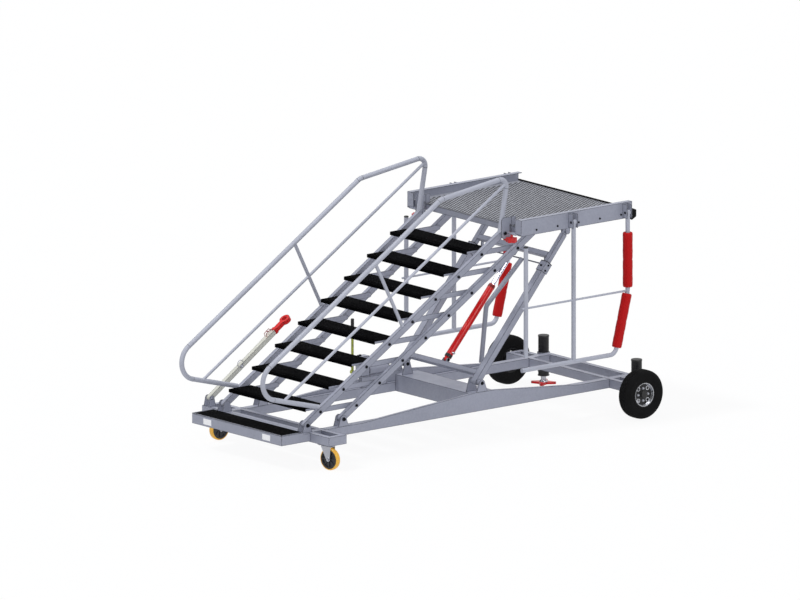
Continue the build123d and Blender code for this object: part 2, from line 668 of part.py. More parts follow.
def platform_joists():
    """The frame under the deck: cross tubes, side joists and the ears for the struts."""
    top = DECK_TOP - DECK_T
    z = (top - JOIST_H, top)
    x = PLATFORM_X - BEAM_WALL
    frame = block((-x, x), (DECK_FRONT, DECK_FRONT + TUBE_W), z)
    frame += block((-x, x), (PLATFORM_Y[1] - TUBE_W, PLATFORM_Y[1]), z)
    middle = STRUT_TOP[0]
    frame += block((-x, x), (middle - STRUT_JOIST_W / 2, middle + STRUT_JOIST_W / 2), z)
    along = (DECK_FRONT + TUBE_W, PLATFORM_Y[1] - TUBE_W)
    frame += both(block(SIDE_JOIST_X, along, (top - SIDE_JOIST_H, top)))
    corner = BEAM_Z[0] + BEAM_WALL
    return frame - both(block((PLATFORM_X - BEAM_FLANGE, PLATFORM_X), PLATFORM_Y, (corner - 30, corner)))


def pivot_plates():
    """The plates that hold the top pins of all four stringers; the front ones rise past the deck."""
    y, z = TOP_PIVOT
    half = 50.0
    top = DECK_TOP - DECK_T
    bottom = DECK_TOP - LUG_DROP
    front = y - LUG_AHEAD
    corner = outline((front, bottom + 20), (front + 20, bottom), (DECK_FRONT, bottom),
                     (DECK_FRONT, BEAM_Z[1]), (front, BEAM_Z[1]))
    nose = corner.vertices().sort_by_distance((front, BEAM_Z[1], 0))[0]
    corner = fillet(nose, 30.0)
    place, width, height = LUG_SLOT
    corner -= Pos(y + place, (z + DECK_TOP) / 2) * Rot(0, 0, 90) * SlotOverall(height, width)
    plates = slab(corner, LUG_X)
    far = behind(TOP_PIVOT)
    rear = outline((far[0] - half, z), (far[0] - half / 2, bottom), (far[0] + half / 2, bottom),
                   (far[0] + half, z), (far[0] + half, top), (far[0] - half, top))
    plates += slab(rear, LUG_X)
    for place in (TOP_PIVOT, far):
        plates += round_x((STRINGER_X[0] - 6, LUG_X[0]), *place, PIVOT_R)
        plates += round_x((LUG_X[1], LUG_X[1] + 7), *place, PIVOT_R + 6)
        plates += round_x((STRINGER_X[0] - 12, STRINGER_X[0] - 5), *place, PIVOT_R + 5)
    return both(plates)


def strut_ears():
    """Ears under the strut joist that take the heads of the struts."""
    y, z = STRUT_TOP
    top = DECK_TOP - DECK_T - JOIST_H
    half = STRUT_JOIST_W / 2
    plate = outline((y - half, top), (y + half, top), (y + 24, z), (y - 24, z)) + hole(STRUT_TOP, 24)
    gap = STRUT_INNER[0] / 2 + 2.0
    ears = slab(plate, (STRUT_X - gap - 8, STRUT_X - gap)) + slab(plate, (STRUT_X + gap, STRUT_X + gap + 8))
    return both(ears)


def deck():
    """The deck plate between the side beams."""
    x = PLATFORM_X - BEAM_WALL
    return block((-x, x), (DECK_FRONT, PLATFORM_Y[1]), (DECK_TOP - DECK_T, DECK_TOP))


def hinge_brackets():
    """Ear pairs with their pins, outside the side beams, for the guardrail posts."""
    ears = None
    for y in GUARD_POSTS:
        reach = GUARD_X + GUARD_R + 6
        for low in (y - GUARD_R - 2 - EAR_T, y + GUARD_R + 2):
            ear = block((PLATFORM_X, reach), (low, low + EAR_T), EAR_Z)
            ears = ear if ears is None else ears + ear
        ears += round_y(GUARD_X, (y - GUARD_R - 2, y + GUARD_R + 2), GUARD_HINGE_Z, HINGE_PIN_R)
    return both(ears)


def bumper():
    """The tapered rubber bumper along the rear edge, which meets the aircraft."""
    root = PLATFORM_Y[1]
    tip = root + BUMPER_D
    section = outline((root, DECK_TOP + BUMPER_ROOT[0]), (tip, DECK_TOP + BUMPER_TIP[0]),
                      (tip, DECK_TOP + BUMPER_TIP[1]), (root, DECK_TOP + BUMPER_ROOT[1]))
    section = fillet(section.vertices().group_by(Axis.X)[-1], 10.0)
    return slab(section, (-PLATFORM_X, PLATFORM_X))


def knobs():
    """The star knobs that lock the raised guardrails, on screws under the front corners."""
    y = PLATFORM_Y[0]
    plate = DECK_TOP - DECK_T - JOIST_H
    z = (plate - KNOB_DROP - KNOB_H, plate - KNOB_DROP)
    knob = round_z(KNOB_X, y, z, KNOB_R - KNOB_LOBE_R + 4)
    for i in range(5):
        lobe = Pos(KNOB_R - KNOB_LOBE_R, 0, (z[0] + z[1]) / 2) * Cylinder(KNOB_LOBE_R, KNOB_H)
        knob += Pos(KNOB_X, y, 0) * Rot(0, 0, i * 72) * lobe
    return both(knob + round_z(KNOB_X, y, (z[1], plate), 8))


def knob_plates():
    """The plate under each front corner that carries the knob's screw."""
    z = DECK_TOP - DECK_T - JOIST_H
    return both(block(KNOB_PLATE_X, (PLATFORM_Y[0] - KNOB_PLATE_AHEAD, DECK_FRONT), (z, z + BEAM_WALL)))


# ---------------------------------------------------------------- guardrails
def guardrail(side):
    """A welded guardrail frame, hung upside down from its hinge pins."""
    x = GUARD_X
    rear, middle = GUARD_POSTS
    lean = (GUARD_LEAN_Y, GUARD_END_Z)
    frame = pipe(x, ((rear, GUARD_HINGE_Z), (rear, GUARD_LEAN_Z), lean, (GUARD_FRONT, GUARD_END_Z)),
                 GUARD_R, [LEAN_BEND, GUARD_BEND])
    frame += pipe(x, ((middle, GUARD_HINGE_Z), (middle, GUARD_END_Z)), GUARD_R)
    frame += pipe(x, ((rear, GUARD_MID_Z), (GUARD_FRONT, GUARD_MID_Z)), GUARD_MID_R)
    frame += pipe(x, [(GUARD_FRONT_POST, z) for z in FRONT_POST_Z], GUARD_R)
    for post in GUARD_POSTS:
        half = GUARD_R - 3
        frame += round_y(x, (post - half, post + half), GUARD_HINGE_Z, KNUCKLE_R)
        frame -= round_y(x, (post - 60, post + 60), GUARD_HINGE_Z, HINGE_PIN_R + PIN_GAP)
    return handed(frame, side)


def sleeves(side):
    """Two foam sleeves on the rear post, each a thick ring round the tube."""
    rear = GUARD_POSTS[0]
    gap = GUARD_R + SLEEVE_GAP
    upper = round_z(GUARD_X, rear, UPPER_SLEEVE_Z, SLEEVE_R) - round_z(GUARD_X, rear, UPPER_SLEEVE_Z, gap)
    start = (rear, GUARD_LEAN_Z)
    end = (GUARD_LEAN_Y, GUARD_END_Z)
    low = on_line(start, end, LOWER_SLEEVE[0])
    high = on_line(start, end, math.dist(start, end) - LOWER_SLEEVE[1])
    tube = pipe(GUARD_X, (low, high), SLEEVE_R) - pipe(GUARD_X, (start, end), gap)
    return handed(upper + tube, side)


# ---------------------------------------------------------------- struts and ram
def strut_outer():
    """The lower tubes of the struts with their hubs and collars, joined by the lower tie."""
    half, depth = STRUT_OUTER[0] / 2, STRUT_OUTER[1]
    core = half - STRUT_WALL
    foot, end = on_strut(0), on_strut(STRUT_OUTER_END)
    tube = slab(bar(foot, end, depth) + hole(foot, depth / 2), (STRUT_X - half, STRUT_X + half))
    collar = half + COLLAR_WALL
    tube += slab(bar(on_strut(STRUT_OUTER_END - COLLAR_L), end, depth + 2 * COLLAR_WALL),
                 (STRUT_X - collar, STRUT_X + collar))
    tube -= slab(bar(on_strut(60), on_strut(STRUT_OUTER_END + 10), depth - 2 * STRUT_WALL),
                 (STRUT_X - core, STRUT_X + core))
    hub = (STRUT_LUG_X + STRUT_LUG_T + STRUT_HUB_GAP, RAIL_X[1] - STRUT_LUG_T - STRUT_HUB_GAP)
    tube += round_x(hub, *foot, STRUT_HUB_R)
    tube -= slab(hole(foot, PIVOT_R + 2 + PIN_GAP), (hub[0] - 1, hub[1] + 1))
    tie_half = STRUT_X - half
    low, high = LOWER_TIE - TIE_H / 2, LOWER_TIE + TIE_H / 2
    tie = slab(bar(on_strut(low), on_strut(high), TIE_H), (-tie_half, tie_half))
    ear = bar(on_strut(high, RAM_FOOT[1]), RAM_FOOT_PIN, 34) + hole(RAM_FOOT_PIN, 17)
    gap = EYE_W / 2 + 1.5
    ears = slab(ear, (-gap - 8, -gap)) + slab(ear, (gap, gap + 8))
    pin = round_x((-gap, gap), *RAM_FOOT_PIN, PIVOT_R - 1)
    return both(tube) + tie + ears + pin


def upper_tie():
    """The side view of the upper tie, in line with the struts."""
    return bar(on_strut(UPPER_TIE - TIE_H / 2), on_strut(UPPER_TIE + TIE_H / 2), TIE_H)


def strut_inner():
    """The upper tubes of the struts, joined by the upper tie that the ram pushes."""
    half, depth = STRUT_INNER[0] / 2, STRUT_INNER[1]
    length = math.dist(STRUT_FOOT, STRUT_TOP)
    tube = slab(bar(on_strut(INNER_START), on_strut(length - 34), depth), (STRUT_X - half, STRUT_X + half))
    tongue = bar(on_strut(length - 40), on_strut(length), 36) + hole(STRUT_TOP, 18)
    tube += slab(tongue, (STRUT_X - half + 5, STRUT_X + half - 5))
    tube += round_x((STRUT_X - half - 1.4, STRUT_X + half + 1.4), *STRUT_TOP, PIVOT_R)
    tie = slab(upper_tie(), (half - STRUT_X, STRUT_X - half))
    ear = bar(on_strut(UPPER_TIE, RAM_HEAD[1]), RAM_HEAD_PIN, 38) + hole(RAM_HEAD_PIN, 19)
    gap = EYE_W / 2 + 4
    ears = slab(ear, (-gap - 8, -gap)) + slab(ear, (gap, gap + 8))
    return both(tube) + tie + ears


def ram_barrel():
    """The ram's cylinder with its foot eye."""
    foot, head = RAM_FOOT_PIN, RAM_HEAD_PIN
    start, end = RAM_BARREL
    body = pipe(0, (on_line(foot, head, start), on_line(foot, head, end)), RAM_R)
    body -= pipe(0, (on_line(foot, head, start + 30), on_line(foot, head, end + 5)), RAM_ROD_R + RUNNING_GAP)
    eye = bar(foot, on_line(foot, head, start + 4), 30) + hole(foot, 15) - hole(foot, PIVOT_R)
    return body + slab(eye, (-EYE_W / 2, EYE_W / 2))


def ram_rod():
    """The ram's rod with its head eye and pin."""
    foot, head = RAM_FOOT_PIN, RAM_HEAD_PIN
    length = math.dist(foot, head)
    rod = pipe(0, (on_line(foot, head, RAM_BARREL[1] - 330), on_line(foot, head, length - 14)), RAM_ROD_R)
    eye = slab(hole(head, RAM_EYE_R), (-EYE_W / 2, EYE_W / 2))
    return rod + eye + round_x((-EYE_W / 2 - 3.7, EYE_W / 2 + 3.7), *head, PIVOT_R)


def release_lever():
    """The bent lever and cross rod that free the strut latches, hung from the upper tie."""
    rod_place = on_strut(*LATCH_ROD)
    reach = STRUT_X - 56
    rod = round_x((-reach, reach), *rod_place, LATCH_ROD_R)
    hanger = bar(on_strut(UPPER_TIE), rod_place, HANGER_H) + hole(rod_place, HANGER_H / 2) - upper_tie()
    hangers = slab(hanger, (-reach + 2, -reach + 12)) + slab(hanger, (reach - 12, reach - 2))
    lever = pipe(LEVER_X, (rod_place, LEVER_KNEE, LEVER_END), LEVER_R, [LEVER_BEND])
    return rod + hangers + lever


NODES = {
    "side_rails": side_rails(), "front_frame": front_frame(), "foot_tray": foot_tray(),
    "reflectors": reflectors(), "cross_member": cross_member(), "rear_frame": rear_frame(),
    "stub_axles": stub_axles(), "jack_tubes": jack_tubes(), "stair_lugs": stair_lugs(),
    "strut_lugs": strut_lugs(), "caster_plates": caster_plate(), "tow_bracket": tow_bracket(),
    "hand_pump": hand_pump(), "pump_lever": pump_lever(),
    "tow_bar": tow_bar(), "tow_eye": tow_eye(),
    "stringers_upper": stringers(LOW_PIVOT, TREAD_PIVOTS),
    "stringers_lower": stringers(behind(LOW_PIVOT), [behind(p) for p in TREAD_PIVOTS]),
    "platform_beams": platform_beams(), "platform_joists": platform_joists(),
    "pivot_plates": pivot_plates(), "strut_ears": strut_ears(), "deck": deck(),
    "hinge_brackets": hinge_brackets(), "bumper": bumper(), "knobs": knobs(),
    "knob_plates": knob_plates(),
    "strut_outer": strut_outer(), "strut_inner": strut_inner(),
    "ram_barrel": ram_barrel(), "ram_rod": ram_rod(), "release_lever": release_lever(),
}
for number, place in enumerate(TREAD_PIVOTS, start=1):
    NODES[f"tread_{number}"] = tread(place)
for hand in ("left", "right"):
    NODES[f"tyre_{hand}"] = wheel(tyre(), hand)
    NODES[f"rim_{hand}"] = wheel(rim(), hand)
    NODES[f"caster_fork_{hand}"] = caster(caster_fork(), hand)
    NODES[f"caster_tread_{hand}"] = caster(caster_tread(), hand)
    NODES[f"caster_hub_{hand}"] = caster(caster_hub(), hand)
    NODES[f"jack_stem_{hand}"] = jack_stem(hand)
    NODES[f"jack_foot_{hand}"] = jack_foot(hand)
    NODES[f"handrail_{hand}"] = handrail(hand)
    NODES[f"guardrail_{hand}"] = guardrail(hand)
    NODES[f"sleeves_{hand}"] = sleeves(hand)

FRONT = NODES["handrail_left"].bounding_box().min.Y
REAR = NODES["jack_foot_left"].bounding_box().max.Y
SHIFT_Y = -(FRONT + REAR) / 2

if __name__ == "__main__":
    os.makedirs("parts", exist_ok=True)
    for name, piece in NODES.items():
        export_step(Pos(0, SHIFT_Y, 0) * piece, f"parts/{name}.step")
    print("nodes", len(NODES), "shift", round(SHIFT_Y, 2), "length", round(REAR - FRONT, 1))
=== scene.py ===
"""Visual model of towable aircraft boarding stairs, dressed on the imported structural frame."""

import json
import logging
import math
from dataclasses import dataclass
from enum import Enum
from typing import Callable, Iterable, Sequence

import bmesh
import bpy
from mathutils import Matrix, Vector

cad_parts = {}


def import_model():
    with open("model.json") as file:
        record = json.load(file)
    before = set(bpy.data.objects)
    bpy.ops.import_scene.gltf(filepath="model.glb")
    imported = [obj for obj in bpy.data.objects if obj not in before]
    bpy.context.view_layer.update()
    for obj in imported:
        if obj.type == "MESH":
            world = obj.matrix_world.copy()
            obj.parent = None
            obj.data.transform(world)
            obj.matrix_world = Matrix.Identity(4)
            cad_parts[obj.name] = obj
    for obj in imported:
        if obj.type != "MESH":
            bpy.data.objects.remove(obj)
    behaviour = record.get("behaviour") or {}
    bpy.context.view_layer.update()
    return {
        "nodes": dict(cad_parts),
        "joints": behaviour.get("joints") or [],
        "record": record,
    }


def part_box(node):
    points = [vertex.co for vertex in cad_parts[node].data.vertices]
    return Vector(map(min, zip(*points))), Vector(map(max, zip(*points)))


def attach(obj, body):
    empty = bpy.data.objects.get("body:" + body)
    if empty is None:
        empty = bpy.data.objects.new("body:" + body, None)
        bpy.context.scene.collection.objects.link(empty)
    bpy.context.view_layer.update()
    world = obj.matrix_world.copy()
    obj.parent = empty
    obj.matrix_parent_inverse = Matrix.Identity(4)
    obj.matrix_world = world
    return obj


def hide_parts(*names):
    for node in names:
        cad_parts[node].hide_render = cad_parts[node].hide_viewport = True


LOG = logging.getLogger("boarding_stairs")
Point = tuple[float, float, float]
Profile = Sequence[tuple[float, float]]
Socket = bpy.types.NodeSocket
SIDES = ("left", "right")
GUARD_POST_GAP = 0.585   # from a guardrail's rear post to its middle one


# ---------------------------------------------------------------- finishes
def tint(red: int, green: int, blue: int) -> tuple[float, float, float, float]:
    """Turn a colour of 0 to 255 into the linear values that a shader takes.

    Args:
        red: Red, 0 to 255.
        green: Green, 0 to 255.
        blue: Blue, 0 to 255.

    Returns:
        Linear red, green, blue and an alpha of 1.
    """
    values = []
    for level in (red, green, blue):
        share = level / 255
        values.append(share / 12.92 if share <= 0.04045 else ((share + 0.055) / 1.055) ** 2.4)
    return (values[0], values[1], values[2], 1.0)


def shade(colour: Sequence[float], factor: float) -> tuple[float, ...]:
    """Multiply a linear colour by a factor.

    Args:
        colour: Linear red, green, blue and alpha.
        factor: Below 1 for darker.

    Returns:
        The new colour, with an alpha of 1.
    """
    return tuple(channel * factor for channel in colour[:3]) + (1.0,)


class NodeSheet:
    """A node tree, with short calls for adding and linking nodes."""

    def __init__(self, tree: bpy.types.NodeTree) -> None:
        """Work on a tree.

        Args:
            tree: The tree that takes the nodes.
        """
        self.tree = tree

    def add(self, kind: str, **values: object) -> bpy.types.Node:
        """Add a node and set its inputs or properties.

        Args:
            kind: The node's Blender type.
            **values: Input or property values; an underscore stands for a space in an input's name.

        Returns:
            The new node.
        """
        node = self.tree.nodes.new(kind)
        for key, value in values.items():
            label = key.replace("_", " ")
            if label in node.inputs:
                node.inputs[label].default_value = value
            else:
                setattr(node, key, value)
        return node

    def join(self, source: Socket, target: Socket) -> None:
        """Link one socket to another."""
        self.tree.links.new(source, target)

    def maths(self, operation: str, first: Socket, second: Socket | float = 0.0) -> Socket:
        """A Math node on one or two values.

        Args:
            operation: The node's operation.
            first: The first value.
            second: The second value, a socket or a number.

        Returns:
            The result.
        """
        node = self.add("ShaderNodeMath", operation=operation)
        self.join(first, node.inputs[0])
        if isinstance(second, (int, float)):
            node.inputs[1].default_value = second
        else:
            self.join(second, node.inputs[1])
        return node.outputs[0]

    def seen(self) -> Socket:
        """Tell rays that show a surface from rays that only carry its light.

        Returns:
            1 for a ray from the camera, a mirror or glass, 0 for any other.
        """
        path = self.add("ShaderNodeLightPath")
        straight = self.maths("MAXIMUM", path.outputs["Is Camera Ray"], path.outputs["Is Glossy Ray"])
        return self.maths("MAXIMUM", straight, path.outputs["Is Transmission Ray"])

    def mix_shaders(self, share: Socket, first: Socket, second: Socket, output: str) -> None:
        """Mix two shaders and send the result to the tree's output.

        Args:
            share: 0 gives the first shader, 1 the second.
            first: A shader.
            second: A shader.
            output: The name of the output node.
        """
        mixed = self.add("ShaderNodeMixShader")
        self.join(share, mixed.inputs["Fac"])
        self.join(first, mixed.inputs[1])
        self.join(second, mixed.inputs[2])
        self.join(mixed.outputs["Shader"], self.tree.nodes[output].inputs["Surface"])


class ShaderSketch(NodeSheet):
    """A material's node tree, with the textures and sockets that the finishes share."""

    def __init__(self, name: str) -> None:
        """Start an empty material.

        Args:
            name: The material's name.
        """
        self.material = bpy.data.materials.new(name)
        self.material.use_nodes = True
        super().__init__(self.material.node_tree)
        self.shader = self.tree.nodes["Principled BSDF"]
        self.place: Socket = self.add("ShaderNodeTexCoord").outputs["Object"]

    def noise(self, scale: float, detail: float = 4.0, roughness: float = 0.55) -> Socket:
        """Solid noise over the object, 0 to 1.

        Args:
            scale: How many features a metre holds, roughly.
            detail: Octaves of finer noise.
            roughness: How strong the finer octaves are.

        Returns:
            The noise value.
        """
        node = self.add("ShaderNodeTexNoise", Scale=scale, Detail=detail, Roughness=roughness)
        self.join(self.place, node.inputs["Vector"])
        return node.outputs["Fac"]

    def cells(self, scale: float, feature: str = "F1", stretch: Point = (1, 1, 1)) -> Socket:
        """Voronoi cells over the object.

        Args:
            scale: Cells to a metre.
            feature: Which Voronoi distance to give.
            stretch: Scale along each axis.

        Returns:
            The distance.
        """
        moved = self.add("ShaderNodeMapping", Scale=stretch)
        self.join(self.place, moved.inputs["Vector"])
        node = self.add("ShaderNodeTexVoronoi", feature=feature)
        node.inputs["Scale"].default_value = scale
        self.join(moved.outputs["Vector"], node.inputs["Vector"])
        return node.outputs["Distance"]

    def span(self, value: Socket, low: float, high: float, start: float = 0.0, end: float = 1.0) -> Socket:
        """Map a value from one range to another, held at its ends.

        Args:
            value: The value.
            low: Where the source range starts.
            high: Where the source range ends.
            start: What low becomes.
            end: What high becomes.

        Returns:
            The mapped value.
        """
        node = self.add("ShaderNodeMapRange")
        self.join(value, node.inputs["Value"])
        for key, number in (("From Min", low), ("From Max", high), ("To Min", start), ("To Max", end)):
            node.inputs[key].default_value = number
        return node.outputs["Result"]

    def blend(self, share: Socket, first: Sequence[float] | Socket,
              second: Sequence[float] | Socket) -> Socket:
        """Mix two colours by a share.

        Args:
            share: 0 gives the first colour, 1 the second.
            first: A colour or a socket.
            second: A colour or a socket.

        Returns:
            The mixed colour.
        """
        node = self.add("ShaderNodeMix", data_type="RGBA")
        self.join(share, node.inputs["Factor"])
        for socket, value in ((node.inputs["A"], first), (node.inputs["B"], second)):
            pick = [s for s in node.inputs if s.name == socket.name and s.type == "RGBA"][0]
            if isinstance(value, bpy.types.NodeSocket):
                self.join(value, pick)
            else:
                pick.default_value = value
        return [s for s in node.outputs if s.type == "RGBA"][0]

    def edges(self, width: float) -> Socket:
        """Where the surface turns sharply, 0 on flats to 1 on edges.

        Args:
            width: Half the band's width in metres.

        Returns:
            The mask.
        """
        round_off = self.add("ShaderNodeBevel", samples=4, Radius=width)
        plain = self.add("ShaderNodeNewGeometry").outputs["Normal"]
        dot = self.add("ShaderNodeVectorMath", operation="DOT_PRODUCT")
        self.join(round_off.outputs["Normal"], dot.inputs[0])
        self.join(plain, dot.inputs[1])
        return self.span(dot.outputs["Value"], 0.9995, 0.986)

    def relief(self, height: Socket, strength: float, depth: float) -> None:
        """Bump the surface by a height.

        Args:
            height: The height, 0 to 1.
            strength: How much of it counts.
            depth: The height of 1 in metres.
        """
        node = self.add("ShaderNodeBump", Strength=strength, Distance=depth)
        self.join(height, node.inputs["Height"])
        self.join(node.outputs["Normal"], self.shader.inputs["Normal"])

    def colour(self, source: Socket) -> None:
        """Take the base colour from a socket."""
        self.join(source, self.shader.inputs["Base Color"])

    def rough(self, source: Socket) -> None:
        """Take the roughness from a socket."""
        self.join(source, self.shader.inputs["Roughness"])

    def settle(self, **values: float) -> None:
        """Set plain numbers on the shader's own sockets; an underscore stands for a space."""
        for key, value in values.items():
            self.shader.inputs[key.replace("_", " ")].default_value = value


@dataclass(frozen=True)
class Enamel:
    """Sprayed enamel with slight orange peel, rubbed paler in places, and a dark line of painted shade along
    its edges and creases.
    """

    name: str
    body: tuple[int, int, int]
    worn: tuple[int, int, int]
    roughness: float = 0.42
    wear: float = 0.6
    drift: float = 0.10
    # The next three fields set the painted shade along edges and creases: whether it is drawn, its width and
    # its dark colour.
    edged: bool = True
    line: float = 0.0075
    edge_shade: tuple[int, int, int] = (12, 12, 18)

    def material(self) -> bpy.types.Material:
        """Build the material.

        Returns:
            The finished material.
        """
        sketch = ShaderSketch(self.name)
        body = tint(*self.body)
        dull = shade(body, 1 - self.drift)
        clouds = sketch.noise(2.6, 5.0)
        base = sketch.blend(sketch.span(clouds, 0.35, 0.65), body, dull)
        chips = sketch.span(sketch.noise(48.0, 6.0, 0.7), 0.42, 0.62)
        share = sketch.maths("MULTIPLY", chips, self.wear)
        paint = sketch.blend(share, base, tint(*self.worn))
        if self.edged:
            # Painted shade: every edge and crease is darkened towards the dark edge colour, a little less
            # where the paint is chipped.
            seam = sketch.maths("MULTIPLY", sketch.edges(self.line), sketch.span(chips, 0.0, 1.0, 0.92, 0.70))
            paint = sketch.blend(seam, paint, tint(*self.edge_shade))
        sketch.colour(paint)
        spread = sketch.span(sketch.noise(9.0, 6.0), 0.3, 0.7, self.roughness - 0.07, self.roughness + 0.09)
        sketch.rough(spread)
        sketch.relief(sketch.noise(420.0, 2.0), 0.05, 0.0004)
        sketch.settle(Specular_IOR_Level=0.30)
        return sketch.material


@dataclass(frozen=True)
class BareMetal:
    """Plated or polished metal with fine drawing lines and finger smudges."""

    name: str
    body: tuple[int, int, int]
    roughness: float = 0.28
    grain: Point = (1.0, 1.0, 1.0)

    def material(self) -> bpy.types.Material:
        """Build the material.

        Returns:
            The finished material.
        """
        sketch = ShaderSketch(self.name)
        body = tint(*self.body)
        dark = shade(body, 0.8)
        stretch = sketch.add("ShaderNodeMapping", Scale=self.grain)
        sketch.join(sketch.place, stretch.inputs["Vector"])
        lines = sketch.add("ShaderNodeTexNoise", Scale=160.0, Detail=4.0)
        sketch.join(stretch.outputs["Vector"], lines.inputs["Vector"])
        sketch.colour(sketch.blend(sketch.span(lines.outputs["Fac"], 0.3, 0.7), body, dark))
        smudge = sketch.span(sketch.noise(22.0, 5.0), 0.3, 0.7, self.roughness - 0.08, self.roughness + 0.12)
        sketch.rough(smudge)
        sketch.relief(lines.outputs["Fac"], 0.12, 0.0004)
        sketch.settle(Metallic=1.0)
        return sketch.material


@dataclass(frozen=True)
class Rubber:
    """Vulcanised rubber: matt, dusty in places, with a faint moulded grain."""

    name: str
    body: tuple[int, int, int]
    dust: tuple[int, int, int]
    roughness: float
    dusty: float = 0.10
    gloss: float = 0.12

    def material(self) -> bpy.types.Material:
        """Build the material.

        Returns:
            The finished material.
        """
        sketch = ShaderSketch(self.name)
        patches = sketch.span(sketch.noise(11.0, 7.0, 0.7), 0.48, 0.72)
        share = sketch.maths("MULTIPLY", patches, self.dusty)
        sketch.colour(sketch.blend(share, tint(*self.body), tint(*self.dust)))
        sketch.rough(sketch.span(patches, 0.0, 1.0, self.roughness - 0.08, self.roughness + 0.12))
        sketch.relief(sketch.noise(900.0, 3.0), 0.25, 0.0006)
        sketch.settle(Specular_IOR_Level=self.gloss)
        return sketch.material


@dataclass(frozen=True)
class Foam:
    """Skinned closed-cell foam, finely pitted with painted shade darkening the pits, with a soft sheen and
    rubbed patches.
    """

    name: str
    body: tuple[int, int, int]
    rubbed: tuple[int, int, int]

    def material(self) -> bpy.types.Material:
        """Build the material.

        Returns:
            The finished material.
        """
        sketch = ShaderSketch(self.name)
        rub = sketch.span(sketch.noise(7.0, 5.0), 0.5, 0.75)
        pits = sketch.cells(520.0)
        body = tint(*self.body)
        base = sketch.blend(rub, body, tint(*self.rubbed))
        # The pits are painted darker than the skin: painted shade in the hollows, over their bump.
        sketch.colour(sketch.blend(sketch.span(pits, 0.55, 0.15, 0.0, 0.5), base, shade(body, 0.72)))
        sketch.rough(sketch.span(rub, 0.0, 1.0, 0.62, 0.78))
        sketch.relief(pits, 0.35, 0.0012)
        sketch.settle(Sheen_Weight=0.06, Sheen_Roughness=0.5, Specular_IOR_Level=0.15)
        return sketch.material


@dataclass(frozen=True)
class Grit:
    """Anti-slip covering: coarse mineral grains bonded in a dark coat, polished by feet."""

    name: str
    body: tuple[int, int, int]
    grain: tuple[int, int, int]

    def material(self) -> bpy.types.Material:
        """Build the material.

        Returns:
            The finished material.
        """
        sketch = ShaderSketch(self.name)
        grains = sketch.cells(640.0)
        glint = sketch.span(grains, 0.28, 0.05)
        tread = sketch.span(sketch.noise(5.0, 5.0), 0.45, 0.7)
        speck = sketch.maths("MULTIPLY", glint, sketch.span(sketch.noise(260.0), 0.5, 0.62))
        base = sketch.blend(sketch.maths("MULTIPLY", tread, 0.06), tint(*self.body), tint(*self.grain))
        sketch.colour(sketch.blend(sketch.maths("MULTIPLY", speck, 0.4), base, tint(*self.grain)))
        sketch.rough(sketch.span(tread, 0.0, 1.0, 0.96, 0.86))
        sketch.relief(grains, 0.5, 0.0010)
        sketch.settle(Specular_IOR_Level=0.03)
        return sketch.material


@dataclass(frozen=True)
class Polyurethane:
    """Cast polyurethane of the caster treads: slightly glossy, scuffed where it rolls."""

    name: str
    body: tuple[int, int, int]
    scuff: tuple[int, int, int]

    def material(self) -> bpy.types.Material:
        """Build the material.

        Returns:
            The finished material.
        """
        sketch = ShaderSketch(self.name)
        scuffs = sketch.span(sketch.noise(90.0, 7.0, 0.75), 0.52, 0.72)
        sketch.colour(sketch.blend(scuffs, tint(*self.body), tint(*self.scuff)))
        sketch.rough(sketch.span(scuffs, 0.0, 1.0, 0.30, 0.62))
        sketch.relief(scuffs, 0.15, 0.0006)
        sketch.settle(Subsurface_Weight=0.08, Coat_Weight=0.15)
        return sketch.material


@dataclass(frozen=True)
class Moulded:
    """Moulded plastic with a fine spark texture and rubbed edges."""

    name: str
    body: tuple[int, int, int]
    roughness: float = 0.35

    def material(self) -> bpy.types.Material:
        """Build the material.

        Returns:
            The finished material.
        """
        sketch = ShaderSketch(self.name)
        body = tint(*self.body)
        pale = tuple(min(1.0, c * 1.5 + 0.03) for c in body[:3]) + (1.0,)
        share = sketch.maths("MULTIPLY", sketch.edges(0.0016), sketch.noise(70.0))
        sketch.colour(sketch.blend(share, body, pale))
        touched = sketch.noise(30.0, 5.0)
        sketch.rough(sketch.span(touched, 0.3, 0.7, self.roughness - 0.06, self.roughness + 0.12))
        sketch.relief(sketch.cells(1400.0), 0.12, 0.0004)
        return sketch.material


class Finish(Enum):
    """Every finish used on the stairs."""

    FRAME = Enamel("frame enamel", (147, 150, 164), (170, 173, 186), roughness=0.44, wear=0.20)
    RAIL = Enamel("rail enamel", (166, 169, 181), (188, 191, 202), roughness=0.40, wear=0.12, edged=False)
    DECK = Enamel("deck plate", (158, 160, 168), (190, 192, 200), roughness=0.50, wear=0.4)
    TOW = Enamel("tow bar enamel", (196, 196, 186), (214, 214, 208), wear=0.3)
    RED = Enamel("red enamel", (206, 14, 16), (176, 18, 18), roughness=0.30, wear=0.25, edge_shade=(70, 6, 8))
    BLACK = Enamel("black enamel", (14, 14, 16), (52, 52, 56), wear=0.3, edged=False)
    LIME = Enamel("lever paint", (196, 206, 70), (120, 124, 96), roughness=0.36)
    STEEL = BareMetal("zinc plated steel", (176, 178, 186), roughness=0.34)
    DARK_STEEL = BareMetal("blackened steel", (30, 31, 36), roughness=0.46)
    CHROME = BareMetal("hard chrome rod", (214, 214, 232), roughness=0.14, grain=(1.0, 1.0, 6.0))
    RIM_STEEL = BareMetal("machined rim", (206, 208, 214), roughness=0.24)
    TYRE = Rubber("tyre rubber", (10, 10, 11), (40, 39, 38), roughness=0.88)
    BUMPER = Rubber("bumper rubber", (10, 10, 12), (50, 49, 48), roughness=0.84)
    FOAM = Foam("red foam", (176, 8, 11), (184, 20, 22))
    GRIP = Grit("anti-slip grit", (1, 1, 2), (26, 26, 30))
    YELLOW = Polyurethane("yellow polyurethane", (226, 172, 52), (176, 128, 44))
    CORE = Moulded("caster core", (26, 26, 30), roughness=0.45)
    KNOB = Moulded("red knob", (190, 14, 18), roughness=0.34)
    GREASE_CAP = Moulded("black cap", (10, 10, 12), roughness=0.50)
    MARKER = Moulded("white marker", (236, 236, 238), roughness=0.30)


